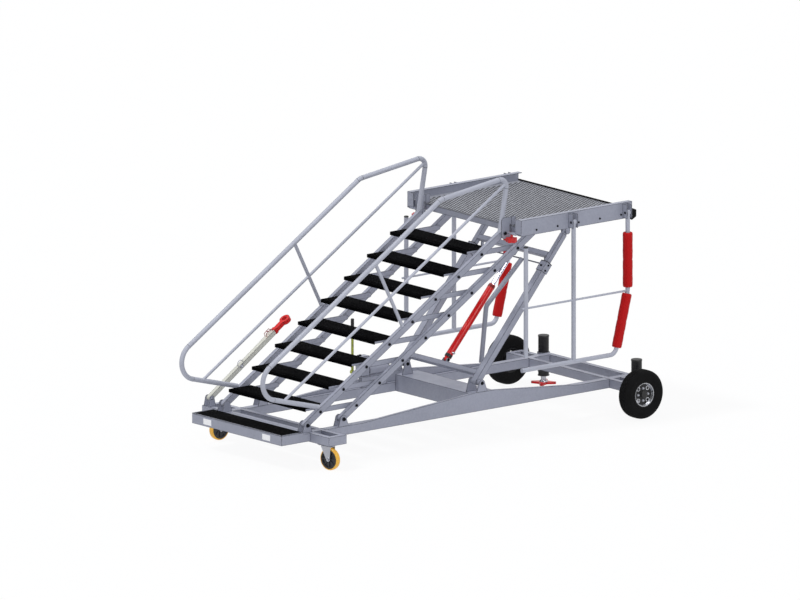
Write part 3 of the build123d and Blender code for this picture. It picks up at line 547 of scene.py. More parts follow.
class Workshop:
    """Keeps each finish's material, so that it is built once."""

    shelf: dict[Finish, bpy.types.Material] = {}

    @classmethod
    def material(cls, finish: Finish) -> bpy.types.Material:
        """Give the material of a finish, building it the first time.

        Args:
            finish: The finish.

        Returns:
            Its material.
        """
        if finish not in cls.shelf:
            cls.shelf[finish] = finish.value.material()
        return cls.shelf[finish]


# ---------------------------------------------------------------- shapes
def polar(radius: float, angle: float, height: float = 0.0) -> Vector:
    """A point on a circle about Z.

    Args:
        radius: The circle's radius.
        angle: The angle from X in radians.
        height: The circle's height.

    Returns:
        The point.
    """
    return Vector((radius * math.cos(angle), radius * math.sin(angle), height))


def mirrored(half: Profile) -> list[tuple[float, float]]:
    """Complete one half of a turned profile with its mirror image.

    Args:
        half: Points of radius and height, from the inner end to the middle.

    Returns:
        The whole profile.
    """
    return list(half) + [(radius, -height) for radius, height in reversed(half)]


def aim(origin: Sequence[float], forward: Sequence[float], side: Sequence[float] = (0, 0, 1)) -> Matrix:
    """A placement whose Z runs along a direction.

    Args:
        origin: Where it stands.
        forward: Where its Z points.
        side: A direction that its Y leans towards.

    Returns:
        The placement.
    """
    z = Vector(forward).normalized()
    hint = Vector(side)
    if abs(z.dot(hint.normalized())) > 0.98:
        hint = Vector((0, 1, 0)) if abs(z.y) < 0.9 else Vector((1, 0, 0))
    x = hint.cross(z).normalized()
    y = z.cross(x)
    turn = Matrix((x, y, z)).transposed().to_4x4()
    return Matrix.Translation(Vector(origin)) @ turn


class Shape:
    """Gathers solids in one mesh, ready to be made a piece."""

    def __init__(self) -> None:
        """Start empty."""
        self.mesh = bmesh.new()

    def block(self, low: Sequence[float], high: Sequence[float], ease: float = 0.0,
              place: Matrix | None = None) -> "Shape":
        """Add a box with eased edges.

        Args:
            low: Its lowest corner.
            high: Its highest corner.
            ease: The radius of its edges.
            place: A placement, if the corners aren't in the object's frame.

        Returns:
            The shape.
        """
        size = [b - a for a, b in zip(low, high)]
        middle = [(a + b) / 2 for a, b in zip(low, high)]
        made = bmesh.ops.create_cube(self.mesh, size=1.0)["verts"]
        bmesh.ops.scale(self.mesh, vec=size, verts=made)
        bmesh.ops.translate(self.mesh, vec=middle, verts=made)
        if ease > 0:
            edges = list({e for v in made for e in v.link_edges})
            out = bmesh.ops.bevel(self.mesh, geom=edges, offset=ease, segments=2, affect="EDGES", profile=0.6)
            made = list({v for f in out["faces"] for v in f.verts} | {v for v in made if v.is_valid})
        if place is not None:
            bmesh.ops.transform(self.mesh, matrix=place, verts=made)
        return self

    def lathe(self, profile: Profile, place: Matrix, steps: int = 48, ring: bool = False) -> "Shape":
        """Turn a profile of radius and height about the placement's Z.

        Args:
            profile: Points of radius and height.
            place: The placement.
            steps: Divisions of the turn.
            ring: True if the profile closes on itself, so that the middle stays open.

        Returns:
            The shape.
        """
        rows = []
        for radius, height in profile:
            if radius < 1e-6:
                rows.append([self.mesh.verts.new(place @ Vector((0, 0, height)))])
                continue
            rows.append([self.mesh.verts.new(place @ polar(radius, 2 * math.pi * i / steps, height))
                         for i in range(steps)])
        pairs = list(zip(rows, rows[1:]))
        if ring:
            pairs.append((rows[-1], rows[0]))
        for lower, upper in pairs:
            for i in range(steps):
                j = (i + 1) % steps
                quad = [lower[i % len(lower)], lower[j % len(lower)],
                        upper[j % len(upper)], upper[i % len(upper)]]
                unique = list(dict.fromkeys(quad))
                if len(unique) > 2:
                    self.mesh.faces.new(unique)
        return self

    def prism(self, outline: Profile, depth: float, place: Matrix) -> "Shape":
        """Raise a flat outline along the placement's Z.

        Args:
            outline: Corners in the placement's X and Y.
            depth: How far it is raised.
            place: The placement.

        Returns:
            The shape.
        """
        low = [self.mesh.verts.new(place @ Vector((x, y, 0))) for x, y in outline]
        high = [self.mesh.verts.new(place @ Vector((x, y, depth))) for x, y in outline]
        self.mesh.faces.new(list(reversed(low)))
        self.mesh.faces.new(high)
        for i in range(len(outline)):
            j = (i + 1) % len(outline)
            self.mesh.faces.new((low[i], low[j], high[j], high[i]))
        return self

    def tube(self, points: Sequence[Sequence[float]], radius: float | Callable[[float], float],
             sides: int = 16, closed: bool = False) -> "Shape":
        """Run a round bar along points.

        Args:
            points: The middle line.
            radius: The radius, or a function of the share of the way along.
            sides: Sides of its section.
            closed: True if it joins up with its own start.

        Returns:
            The shape.
        """
        line = [Vector(p) for p in points]
        count = len(line)
        guide = Vector((0.123, 0.456, 0.881)).normalized()
        rows = []
        for i, here in enumerate(line):
            ahead = line[(i + 1) % count] if closed or i + 1 < count else here
            back = line[i - 1] if closed or i > 0 else here
            along = (ahead - back).normalized()
            guide = (guide - along * guide.dot(along)).normalized()
            other = along.cross(guide)
            size = radius(i / (count - 1)) if callable(radius) else radius
            row = []
            for k in range(sides):
                angle = 2 * math.pi * k / sides
                row.append(self.mesh.verts.new(here + guide * (size * math.cos(angle))
                                               + other * (size * math.sin(angle))))
            rows.append(row)
        pairs = list(zip(rows, rows[1:]))
        if closed:
            pairs.append((rows[-1], rows[0]))
        for lower, upper in pairs:
            for k in range(sides):
                m = (k + 1) % sides
                self.mesh.faces.new((lower[k], lower[m], upper[m], upper[k]))
        if not closed:
            self.mesh.faces.new(list(reversed(rows[0])))
            self.mesh.faces.new(rows[-1])
        return self

    def disc(self, radius: float, thick: float, place: Matrix, ease: float = 0.001,
             steps: int = 32) -> "Shape":
        """Add a round disc with eased rims, standing on the placement.

        Args:
            radius: Its radius.
            thick: Its height.
            place: The surface it stands on, Z outwards.
            ease: How far its rims are broken.
            steps: Divisions of its round.

        Returns:
            The shape.
        """
        profile = [(0, 0), (radius - ease, 0), (radius, ease), (radius, thick - ease),
                   (radius - ease, thick), (0, thick)]
        return self.lathe(profile, place, steps)

    def washer(self, inner: float, outer: float, thick: float, place: Matrix, steps: int = 32) -> "Shape":
        """Add a flat ring with eased rims, standing on the placement.

        Args:
            inner: The radius of its hole.
            outer: Its outer radius.
            thick: Its height.
            place: The surface it stands on, Z outwards.
            steps: Divisions of its round.

        Returns:
            The shape.
        """
        ease = min(thick, outer - inner) * 0.25
        profile = [(inner, 0), (outer - ease, 0), (outer, ease), (outer, thick - ease), (outer - ease, thick),
                   (inner, thick)]
        return self.lathe(profile, place, steps, ring=True)

    def bolt(self, place: Matrix, across: float = 0.016, head: float = 0.0065) -> "Shape":
        """Add a washer and a hexagon head with a turned top.

        Args:
            place: The surface it stands on, Z outwards.
            across: The head's width across its flats.
            head: The head's height.

        Returns:
            The shape.
        """
        washer = 0.0015
        self.disc(across * 0.72, washer, place, 0.0004, 24)
        hexagon = [polar(across / math.sqrt(3), math.radians(60 * i)).xy for i in range(6)]
        base = place @ Matrix.Translation((0, 0, washer))
        self.prism(hexagon, head, base)
        top = base @ Matrix.Translation((0, 0, head))
        self.lathe([(across * 0.46, 0), (across * 0.40, 0.0007), (0, 0.0007)], top, 18)
        return self

    def bolt_pair(self, middle: Vector, reach: float, across: float, head: float, way: int = 1) -> "Shape":
        """Add a bolt on the right and one on the left of a point.

        Args:
            middle: The point between them.
            reach: How far each stands from it along X.
            across: The heads' width across their flats.
            head: The heads' height.
            way: 1 if the heads face outwards, -1 if they face each other.

        Returns:
            The shape.
        """
        for sign in (1, -1):
            self.bolt(aim(middle + Vector((sign * reach, 0, 0)), (sign * way, 0, 0)), across, head)
        return self

    def bead(self, points: Sequence[Sequence[float]], radius: float = 0.003, closed: bool = False) -> "Shape":
        """Lay a rippled weld bead along points.

        Args:
            points: The joint's line.
            radius: The bead's radius.
            closed: True for a bead all round a tube.

        Returns:
            The shape.
        """
        line = [Vector(p) for p in points]
        if closed:
            line.append(line[0])
        fine = []
        for start, end in zip(line, line[1:]):
            steps = max(2, int((end - start).length / 0.004))
            fine += [start.lerp(end, i / steps) for i in range(steps)]
        if not closed:
            fine.append(line[-1])
        count = len(fine)

        def ripple(share: float) -> float:
            """The bead's radius at a share of its length."""
            return radius * (0.86 + 0.18 * math.sin(share * count * 1.9))

        return self.tube(fine, ripple, 8, closed)

    def piece(self, name: str, finish: Finish, body: str, crease: float = 32.0) -> bpy.types.Object:
        """Make the gathered mesh a piece that moves with a body.

        Args:
            name: The piece's name.
            finish: Its finish.
            body: The body it rides on.
            crease: The angle in degrees over which an edge stays sharp.

        Returns:
            The new object.
        """
        bmesh.ops.remove_doubles(self.mesh, verts=self.mesh.verts, dist=1e-6)
        bmesh.ops.recalc_face_normals(self.mesh, faces=self.mesh.faces)
        for face in self.mesh.faces:
            face.smooth = True
        limit = math.radians(crease)
        for edge in self.mesh.edges:
            if len(edge.link_faces) != 2 or edge.calc_face_angle(0.0) > limit:
                edge.smooth = False
        data = bpy.data.meshes.new(name)
        self.mesh.to_mesh(data)
        self.mesh.free()
        made = bpy.data.objects.new(name, data)
        bpy.context.scene.collection.objects.link(made)
        data.materials.append(Workshop.material(finish))
        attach(made, body)
        return made


def circle_points(centre: Sequence[float], axis: Sequence[float], radius: float,
                  count: int = 32) -> list[Vector]:
    """Points round a circle.

    Args:
        centre: Its middle.
        axis: Its axis.
        radius: Its radius.
        count: How many points.

    Returns:
        The points in order.
    """
    place = aim(centre, axis)
    return [place @ polar(radius, 2 * math.pi * i / count) for i in range(count)]


class Frame:
    """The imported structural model: its nodes, joints and boxes, and its nodes' finishes."""

    nodes: dict[str, bpy.types.Object] = {}
    joints: list[dict] = []
    record: dict = {}

    @classmethod
    def joint(cls, name: str) -> dict:
        """Give a joint by its name."""
        return next(joint for joint in cls.joints if joint["name"] == name)

    @classmethod
    def pivot(cls, name: str) -> Vector:
        """Give the point that a hinge turns about."""
        return Vector(cls.joint(name)["pos_m"])

    @classmethod
    def axis(cls, name: str) -> Vector:
        """Give the direction of a joint's axis."""
        return Vector(cls.joint(name)["axis"]).normalized()

    @classmethod
    def pin_rows(cls) -> tuple[Vector, Vector]:
        """Give the steps from a front pin of the stairs to itself and to the pin behind it."""
        behind = cls.pivot("lower_stringers_turn") - cls.pivot("lift")
        return Vector((0, 0, 0)), behind

    @classmethod
    def dress(cls, finish: Finish, *names: str, ease: float = 0.0) -> None:
        """Give structural nodes a finish and, if asked, broken edges.

        Args:
            finish: The finish.
            *names: The nodes.
            ease: How far the edges are broken, in metres.
        """
        for name in names:
            node = cls.nodes[name]
            material = Workshop.material(finish)
            if not node.material_slots:
                node.data.materials.append(material)
            for slot in node.material_slots:
                slot.link = "OBJECT"
                slot.material = material
            if ease > 0:
                broken = node.modifiers.new("broken edges", "BEVEL")
                broken.width = ease
                broken.segments = 2
                broken.limit_method = "ANGLE"
                broken.angle_limit = math.radians(50)
                broken.harden_normals = False

    @staticmethod
    def box(name: str) -> tuple[Vector, Vector]:
        """The lowest and highest corners of a node."""
        low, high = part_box(name)
        return Vector(low), Vector(high)

    @classmethod
    def middle(cls, name: str) -> Vector:
        """The middle of a node's box."""
        low, high = cls.box(name)
        return (low + high) / 2


# ---------------------------------------------------------------- running gear
@dataclass
class RoadWheel:
    """A road wheel: a treaded tyre on a dished rim, with its nuts, valve and hub cap."""

    side: str
    rim_radius: float = 0.106
    rim_wall: float = 0.0072
    tread_half: float = 0.036
    groove_depth: float = 0.006
    groove_half: float = 0.0034
    groove_wave: float = 0.003
    grooves: tuple[float, ...] = (-0.0195, 0.0, 0.0195)
    shoulder: float = 0.022
    lugs: int = 72
    nut_circle: float = 0.052
    slot_circle: float = 0.070
    nuts: int = 4
    slots: int = 4
    web_depth: float = 0.023

    def __post_init__(self) -> None:
        """Find the wheel's middle and its outward direction."""
        low, high = Frame.box(f"tyre_{self.side}")
        self.centre = (low + high) / 2
        self.radius = (high.z - low.z) / 2
        self.width = high.x - low.x
        self.out = Vector((1 if self.side == "right" else -1, 0, 0))
        self.place = aim(self.centre, self.out)

    def tyre_profile(self) -> list[tuple[float, float]]:
        """The section from the inner bead, over the tread, to the outer bead."""
        half = self.width / 2
        top = self.radius
        bead = self.rim_radius
        wall = [(bead, -half + 0.008), (bead + 0.006, -half + 0.003), (bead + 0.020, -half + 0.001),
                (bead + 0.022, -half + 0.0025), (bead + 0.026, -half + 0.001), (top - 0.042, -half),
                (top - 0.040, -half + 0.0015), (top - 0.036, -half + 0.0005), (top - 0.024, -half + 0.004),
                (top - 0.010, -half + 0.011), (top - 0.003, -half + 0.018)]
        tread = [(top - 0.0006, -0.030), (top - 0.0003, -0.0225), (top - 0.0002, -0.0165),
                 (top, -0.0105), (top, -0.0045)]
        return mirrored(wall + tread)

    def tread_depth(self, step: int, height: float) -> float:
        """How deep the tread is cut at a place.

        Args:
            step: The division round the tyre.
            height: The place across the tread.

        Returns:
            The depth in metres.
        """
        across = abs(height)
        if across > self.tread_half:
            return 0.0
        wave = self.groove_wave * (1 if (step // 4) % 2 else -1)
        for groove in self.grooves:
            if abs(height - groove - wave) < self.groove_half:
                return self.groove_depth
        if across > self.shoulder and step % 4 == 0:
            return self.groove_depth * 0.8
        return 0.0

    def build_tyre(self) -> None:
        """Build the treaded tyre in place of the plain one."""
        shape = Shape()
        steps = self.lugs * 4
        rows = []
        for radius, height in self.tyre_profile():
            row = []
            for i in range(steps):
                cut = radius
                if radius > self.radius - self.groove_depth:
                    cut -= self.tread_depth(i, height)
                row.append(shape.mesh.verts.new(self.place @ polar(cut, 2 * math.pi * i / steps, height)))
            rows.append(row)
        for lower, upper in zip(rows, rows[1:] + rows[:1]):
            for i in range(steps):
                j = (i + 1) % steps
                shape.mesh.faces.new((lower[i], lower[j], upper[j], upper[i]))
        tyre = shape.piece(f"treaded_tyre_{self.side}", Finish.TYRE, f"wheel_{self.side}", 38)
        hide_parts(f"tyre_{self.side}")

    def build_rim(self) -> None:
        """Dress the rim and add its lining, slot rims, nuts, cap and valve."""
        Frame.dress(Finish.BLACK, f"rim_{self.side}")
        low, high = Frame.box(f"rim_{self.side}")
        body = f"wheel_{self.side}"
        half = (high.x - low.x) / 2
        face = half - self.web_depth
        lining = Shape()
        inner = self.rim_radius - self.rim_wall
        lining.lathe([(inner, face + 0.001), (inner, half - 0.0005), (inner - 0.0035, half - 0.0015),
                      (inner - 0.006, half - 0.012), (inner - 0.012, face + 0.0045),
                      (inner - 0.013, face + 0.001)], self.place, 72, ring=True)
        for height in (half - 0.016, half - 0.011, half - 0.006):
            lining.lathe([(inner + 0.001, height - 0.0011), (inner - 0.0052, height),
                          (inner + 0.001, height + 0.0011)], self.place, 72, ring=True)
        lining.piece(f"rim_lining_{self.side}", Finish.RIM_STEEL, body)
        trim = Shape()
        for i in range(self.slots):
            spot = self.place @ polar(self.slot_circle, 2 * math.pi * (i + 0.5) / self.slots, face - 0.0015)
            trim.washer(0.0135, 0.0185, 0.0032, aim(spot, self.out), 32)
        trim.piece(f"slot_rims_{self.side}", Finish.RIM_STEEL, body)
        nuts = Shape()
        for i in range(self.nuts):
            spot = self.place @ polar(self.nut_circle, 2 * math.pi * i / self.nuts, face)
            nuts.bolt(aim(spot, self.out), 0.015, 0.009)
        nuts.piece(f"wheel_nuts_{self.side}", Finish.STEEL, body)
        cap = Shape()
        cap.lathe([(0.0305, face - 0.009), (0.0305, half - 0.002), (0.029, half + 0.001),
                   (0.024, half + 0.003), (0.0, half + 0.0035)], self.place, 40)
        cap.washer(0.031, 0.036, 0.004, self.place @ Matrix.Translation((0, 0, face - 0.001)), 40)
        cap.piece(f"hub_cap_{self.side}", Finish.GREASE_CAP, body)
        valve = Shape()
        root = self.place @ Vector((0.088, 0.012, face))
        tip = self.place @ Vector((0.084, 0.012, face + 0.020))
        valve.tube([root, root.lerp(tip, 0.6), tip], lambda share: 0.0036 - 0.0012 * share, 12)
        valve.piece(f"valve_{self.side}", Finish.GREASE_CAP, body)

    def build(self) -> None:
        """Build the whole wheel."""
        self.build_tyre()
        self.build_rim()


@dataclass
class Caster:
    """A swivel caster: a yellow tread on a dark spoked core, held in a steel fork."""

    side: str
    spokes: int = 8
    tread_half: float = 0.024
    rib_depth: float = 0.010
    fork_half: float = 0.031
    plate_holes: tuple[float, float] = (0.040, 0.043)       # across and along, from the swivel

    def __post_init__(self) -> None:
        """Find the wheel's middle, size and axle from the frame."""
        self.centre = Frame.pivot(f"caster_{self.side}_spin")
        self.axle = Frame.axis(f"caster_{self.side}_spin")
        low, high = Frame.box(f"caster_tread_{self.side}")
        self.radius = (high.z - low.z) / 2
        low, high = Frame.box(f"caster_hub_{self.side}")
        self.core = (high.z - low.z) / 2
        self.place = aim(self.centre, self.axle)

    def build(self) -> None:
        """Build the tread, the core's spokes and the fork's fittings."""
        wheel, fork = f"caster_wheel_{self.side}", f"caster_{self.side}"
        tread = Shape()
        outer, inner, half = self.radius, self.core + 0.0003, self.tread_half
        flank = [(inner, -half + 0.001), (outer - 0.009, -half), (outer - 0.005, -half + 0.002),
                 (outer - 0.0015, -half + 0.006), (outer, -half + 0.012)]
        tread.lathe(mirrored(flank), self.place, 72, ring=True)
        skin = tread.piece(f"caster_tyre_{self.side}", Finish.YELLOW, wheel, 50)
        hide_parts(f"caster_tread_{self.side}")
        Frame.dress(Finish.CORE, f"caster_hub_{self.side}")
        ribs = Shape()
        for end in (1, -1):
            face = self.place @ Matrix.Translation((0, 0, end * 0.0125))
            for i in range(self.spokes):
                turn = Matrix.Rotation(2 * math.pi * i / self.spokes, 4, "Z")
                ribs.block((0.017, -0.0045, -0.0075), (self.core - self.rib_depth, 0.0045, 0.0075), 0.001,
                           face @ turn)
            ribs.washer(self.core - self.rib_depth - 0.004, self.core - self.rib_depth, 0.003,
                        self.place @ Matrix.Translation((0, 0, end * 0.0205 - 0.0015)), 48)
        ribs.piece(f"caster_ribs_{self.side}", Finish.CORE, wheel)
        Frame.dress(Finish.STEEL, f"caster_fork_{self.side}")
        fittings = Shape()
        for end in (1, -1):
            spot = self.place @ Vector((0, 0, end * self.fork_half))
            fittings.bolt(aim(spot, self.axle * end), 0.019, 0.007)
        fittings.piece(f"caster_axle_nuts_{self.side}", Finish.STEEL, fork)
        self.build_plate()

    def build_plate(self) -> None:
        """Build the plate's bolts and the swivel's race."""
        swivel = Frame.pivot(f"caster_{self.side}_swivel")
        below = Frame.box("caster_plates")[0].z
        across, along = self.plate_holes
        bolts = Shape()
        for x in (-across, across):
            for y in (-along, along):
                bolts.bolt(aim((swivel.x + x, swivel.y + y, below), (0, 0, -1)), 0.013, 0.005)
        bolts.piece(f"caster_plate_bolts_{self.side}", Finish.STEEL, "chassis")
        race = Shape()
        fork = f"caster_{self.side}"
        race.washer(0.0345, 0.038, 0.006, Matrix.Translation((swivel.x, swivel.y, below - 0.008)), 40)
        race.piece(f"swivel_race_{self.side}", Finish.DARK_STEEL, fork)


# ---------------------------------------------------------------- base
@dataclass
class Base:
    """The wheeled base: rails, outriggers, foot tray, cross-member and their fastenings."""

    bead: float = 0.003
    tube: float = 0.050
    rail_faces: tuple[float, float] = (0.490, 0.560)        # a side rail's inner and outer face
    rail_seam: float = 0.077                                # over the rails' lowest point
    tray_depth: float = 0.232
    tray_mat: float = 0.004
    rim: float = 0.007
    plate_gap: float = 0.014
    axle_bolts: tuple[float, float] = (0.045, 0.255)        # from the axle, and over the floor
    jack_radius: float = 0.0452
    jack_inset: float = 0.045
    stair_pin: float = 0.567
    strut_pin: tuple[float, float] = (0.560, 0.413)         # the lugs' outer and inner face

    def dress(self) -> None:
        """Give the base's nodes their finishes."""
        Frame.dress(Finish.FRAME, "side_rails", "front_frame", "rear_frame", "foot_tray", "cross_member",
                    "strut_lugs", "stair_lugs", "caster_plates", "tow_bracket", ease=0.0016)
        Frame.dress(Finish.STEEL, "stub_axles")
        Frame.dress(Finish.MARKER, "reflectors", ease=0.001)
        Frame.dress(Finish.BLACK, "jack_tubes")

    def foot_mat(self) -> None:
        """Lay the anti-slip mat in the tray, with a folded rim round it."""
        low, high = Frame.box("foot_tray")
        back = low.y + self.tray_depth
        mat = Shape()
        mat.block((low.x + 0.012, low.y + 0.010, high.z),
                  (high.x - 0.012, back - 0.004, high.z + self.tray_mat), 0.0012)
        mat.piece("foot_mat", Finish.GRIP, "chassis")
        rim = Shape()
        top = high.z + self.rim
        for x in (low.x, high.x - 0.008):
            rim.block((x, low.y, high.z - 0.001), (x + 0.008, back, top), 0.001)
        rim.block((low.x, low.y, high.z - 0.001), (high.x, low.y + self.rim, top), 0.001)
        rim.piece("tray_rim", Finish.FRAME, "chassis")

    def tube_joints(self) -> None:
        """Lay weld beads where the base's tubes meet."""
        beads = Shape()
        rails_low, rails_high = Frame.box("side_rails")
        front_low, front_high = Frame.box("front_frame")
        member_low, member_high = Frame.box("cross_member")
        inner, outer = self.rail_faces
        low, high = front_low.z, front_high.z
        for sign in (1, -1):
            for y in (front_high.y, rails_high.y):
                for x in (inner, outer):
                    beads.bead([(sign * x, y, low + 0.002), (sign * x, y, high - 0.002)], self.bead)
                beads.bead([(sign * inner, y, high), (sign * outer, y, high)], self.bead)
            for x in (outer, front_high.x - self.tube):
                for y in (front_low.y + self.tube, front_high.y - self.tube):
                    beads.bead([(sign * x, y, high), (sign * (x + 0.002), y, high)], self.bead)
                    beads.bead([(sign * x, y, low + 0.003), (sign * x, y, high - 0.001)], self.bead * 0.8)
        top = rails_low.z + self.rail_seam
        for sign in (1, -1):
            x, y = sign * inner, member_low.y
            beads.bead([(x, y, member_low.z + 0.004), (x, y, rails_low.z + 0.070)], self.bead)
            beads.bead([(x, y, top), (x, member_high.y, top)], self.bead)
        beads.piece("base_welds", Finish.FRAME, "chassis")

    def axle_hardware(self) -> None:
        """Bolt the axle plates to their outriggers."""
        bolts = Shape()
        apart, height = self.axle_bolts
        face = Frame.box("tyre_right")[0].x - self.plate_gap
        for y in (-apart, apart):
            bolts.bolt_pair(Vector((0, Frame.middle("tyre_right").y + y, height)), face, 0.017, 0.007)
        bolts.piece("axle_bolts", Finish.STEEL, "chassis")

    def jack_fittings(self) -> None:
        """Cap the jack tubes and ring them where the frame clamps them."""
        low, high = Frame.box("jack_tubes")
        fittings = Shape()
        radius = self.jack_radius
        cap = [(radius, 0), (0.0470, 0.001), (0.0470, 0.010), (0.0455, 0.013), (0.030, 0.0145), (0, 0.0145)]
        for sign in (1, -1):
            x = sign * (high.x - self.jack_inset)
            y = (low.y + high.y) / 2
            fittings.lathe(cap, Matrix.Translation((x, y, high.z - 0.011)), 48)
            fittings.washer(radius, 0.0500, 0.006, Matrix.Translation((x, y, low.z)), 48)
            fittings.washer(radius, 0.0490, 0.004, Matrix.Translation((x, y, low.z + 0.036)), 48)
        fittings.piece("jack_tube_caps", Finish.GREASE_CAP, "chassis")

    def pivot_hardware(self) -> None:
        """Set a nut and washer on the outer end of each stair pivot and strut foot pin."""
        nuts = Shape()
        for name in ("lift", "lower_stringers_turn"):
            nuts.bolt_pair(Frame.pivot(name), self.stair_pin, 0.022, 0.010)
        for reach, way in zip(self.strut_pin, (1, -1)):
            nuts.bolt_pair(Frame.pivot("strut_turn"), reach, 0.022, 0.008, way)
        nuts.piece("base_pivot_nuts", Finish.DARK_STEEL, "chassis")

    def build(self) -> None:
        """Dress the base and add all its small pieces."""
        self.dress()
        self.foot_mat()
        self.tube_joints()
        self.axle_hardware()
        self.jack_fittings()
        self.pivot_hardware()


@dataclass
class Jack:
    """A levelling jack's sliding stem and lobed red foot."""

    side: str

    def build(self) -> None:
        """Dress the stem and foot, and add the ball joint's collar."""
        Frame.dress(Finish.STEEL, f"jack_stem_{self.side}")
        Frame.dress(Finish.RED, f"jack_foot_{self.side}", ease=0.002)
        low, high = Frame.box(f"jack_foot_{self.side}")
        middle = (low + high) / 2
        stem = 0.0225
        collar = Shape()
        collar.lathe([(stem, 0), (0.036, 0), (0.034, 0.008), (0.028, 0.014), (stem, 0.016)],
                     Matrix.Translation((middle.x, middle.y, high.z)), 36, ring=True)
        collar.piece(f"jack_collar_{self.side}", Finish.STEEL, f"jack_{self.side}")


@dataclass
class Drawbar:
    """The tow bar, with its red forged eye, spring catch and lifting ring."""

    half: float = 0.0235
    collar_from_eye: float = 0.150
    collar_step: float = 0.030
    catch_half: float = 0.013
    ring_place: float = 0.400
    ring_radius: float = 0.030
    pivot_face: float = 0.033

    def __post_init__(self) -> None:
        """Find the bar's line from its pivot to its eye."""
        self.pivot = Frame.pivot("drawbar_fold")
        mount = next(mount for mount in Frame.record["mounts"] if mount["name"] == "tow_eye")
        self.eye = Vector(mount["pos_m"])
        self.along = (self.eye - self.pivot).normalized()
        self.up = Vector(mount["axis"]).normalized()

    def build(self) -> None:
        """Dress the bar and add its fittings."""
        Frame.dress(Finish.TOW, "tow_bar", ease=0.002)
        Frame.dress(Finish.RED, "tow_eye", ease=0.003)
        body = "drawbar"
        place = aim(self.pivot, self.along, self.up)
        length = (self.eye - self.pivot).length
        half = self.half
        start = length - self.collar_from_eye
        neck = start + self.collar_step
        collar = Shape()
        collar.block((-half, -half, start), (half, half, neck), 0.003, place)
        collar.block((-0.016, -0.013, neck), (0.016, 0.013, neck + 0.020), 0.003, place)
        collar.piece("drawbar_collar", Finish.RED, body)
        catch = Shape()
        bow = [(0.0215, -0.085), (0.048, -0.080), (0.050, -0.020), (0.0215, -0.010)]
        for sign in (1, -1):
            catch.tube([place @ Vector((sign * self.catch_half, y, start + z)) for y, z in bow], 0.003, 10)
        catch.tube([place @ Vector((x, 0.049, start - 0.05)) for x in (-0.016, 0.0, 0.016)], 0.004, 12)
        catch.piece("drawbar_catch", Finish.RED, body)
        ring = Shape()
        centre = place @ Vector((-half, 0.004, self.ring_place)) + self.up * self.ring_radius
        round_bar = circle_points(centre, self.along.cross(self.up), self.ring_radius, 36)
        ring.tube(round_bar, 0.003, 10, True)
        ring.block((-0.024, -0.010, self.ring_place - 0.015), (-0.020, 0.018, self.ring_place + 0.015),
                   0.001, place)
        ring.piece("drawbar_ring", Finish.STEEL, body)
        hardware = Shape()
        hardware.bolt_pair(self.pivot, self.pivot_face, 0.020, 0.008)
        hardware.piece("drawbar_pivot_nuts", Finish.STEEL, "chassis")


@dataclass
class HandPump:
    """The hand pump on the left rail: block, reservoir, lever and unions."""

    tank_x: float = -0.530
    tank_z: float = 0.429
    tank_top: float = 0.472
    tank_radius: float = 0.0442
    grip_ribs: int = 9
    rib_pitch: float = 0.011

    def build(self) -> None:
        """Dress the pump and add its filler, unions and lever grip."""
        Frame.dress(Finish.FRAME, "hand_pump", ease=0.002)
        Frame.dress(Finish.LIME, "pump_lever")
        low, high = Frame.box("hand_pump")
        parts = Shape()
        x = self.tank_x
        lid = [(0.0, 0.0), (self.tank_radius, 0.0), (self.tank_radius, 0.006), (0.040, 0.008), (0.0, 0.008)]
        parts.lathe(lid, aim((x, high.y, self.tank_z), (0, 1, 0)), 40)
        parts.disc(0.012, 0.012, Matrix.Translation((x, high.y - 0.06, self.tank_top)), 0.002, 24)
        parts.bolt(aim((x - 0.01, low.y + 0.10, high.z), (0, 0, 1)), 0.020, 0.010)
        parts.bolt(aim((x + 0.01, low.y + 0.06, high.z), (0, 0, 1)), 0.014, 0.014)
        parts.piece("pump_fittings", Finish.DARK_STEEL, "chassis")
        low, high = Frame.box("pump_lever")
        middle = (low + high) / 2
        ribs = [(0.0113, 0.0)]
        for i in range(self.grip_ribs):
            ribs += [(0.0150, 0.004 + i * self.rib_pitch), (0.0135, 0.010 + i * self.rib_pitch)]
        ribs += [(0.0150, 0.106), (0.0120, 0.113), (0.0, 0.1135)]
        grip = Shape()
        grip.lathe(ribs, Matrix.Translation((middle.x, middle.y, high.z - 0.1125)), 28)
        grip.piece("lever_grip", Finish.GREASE_CAP, "chassis")


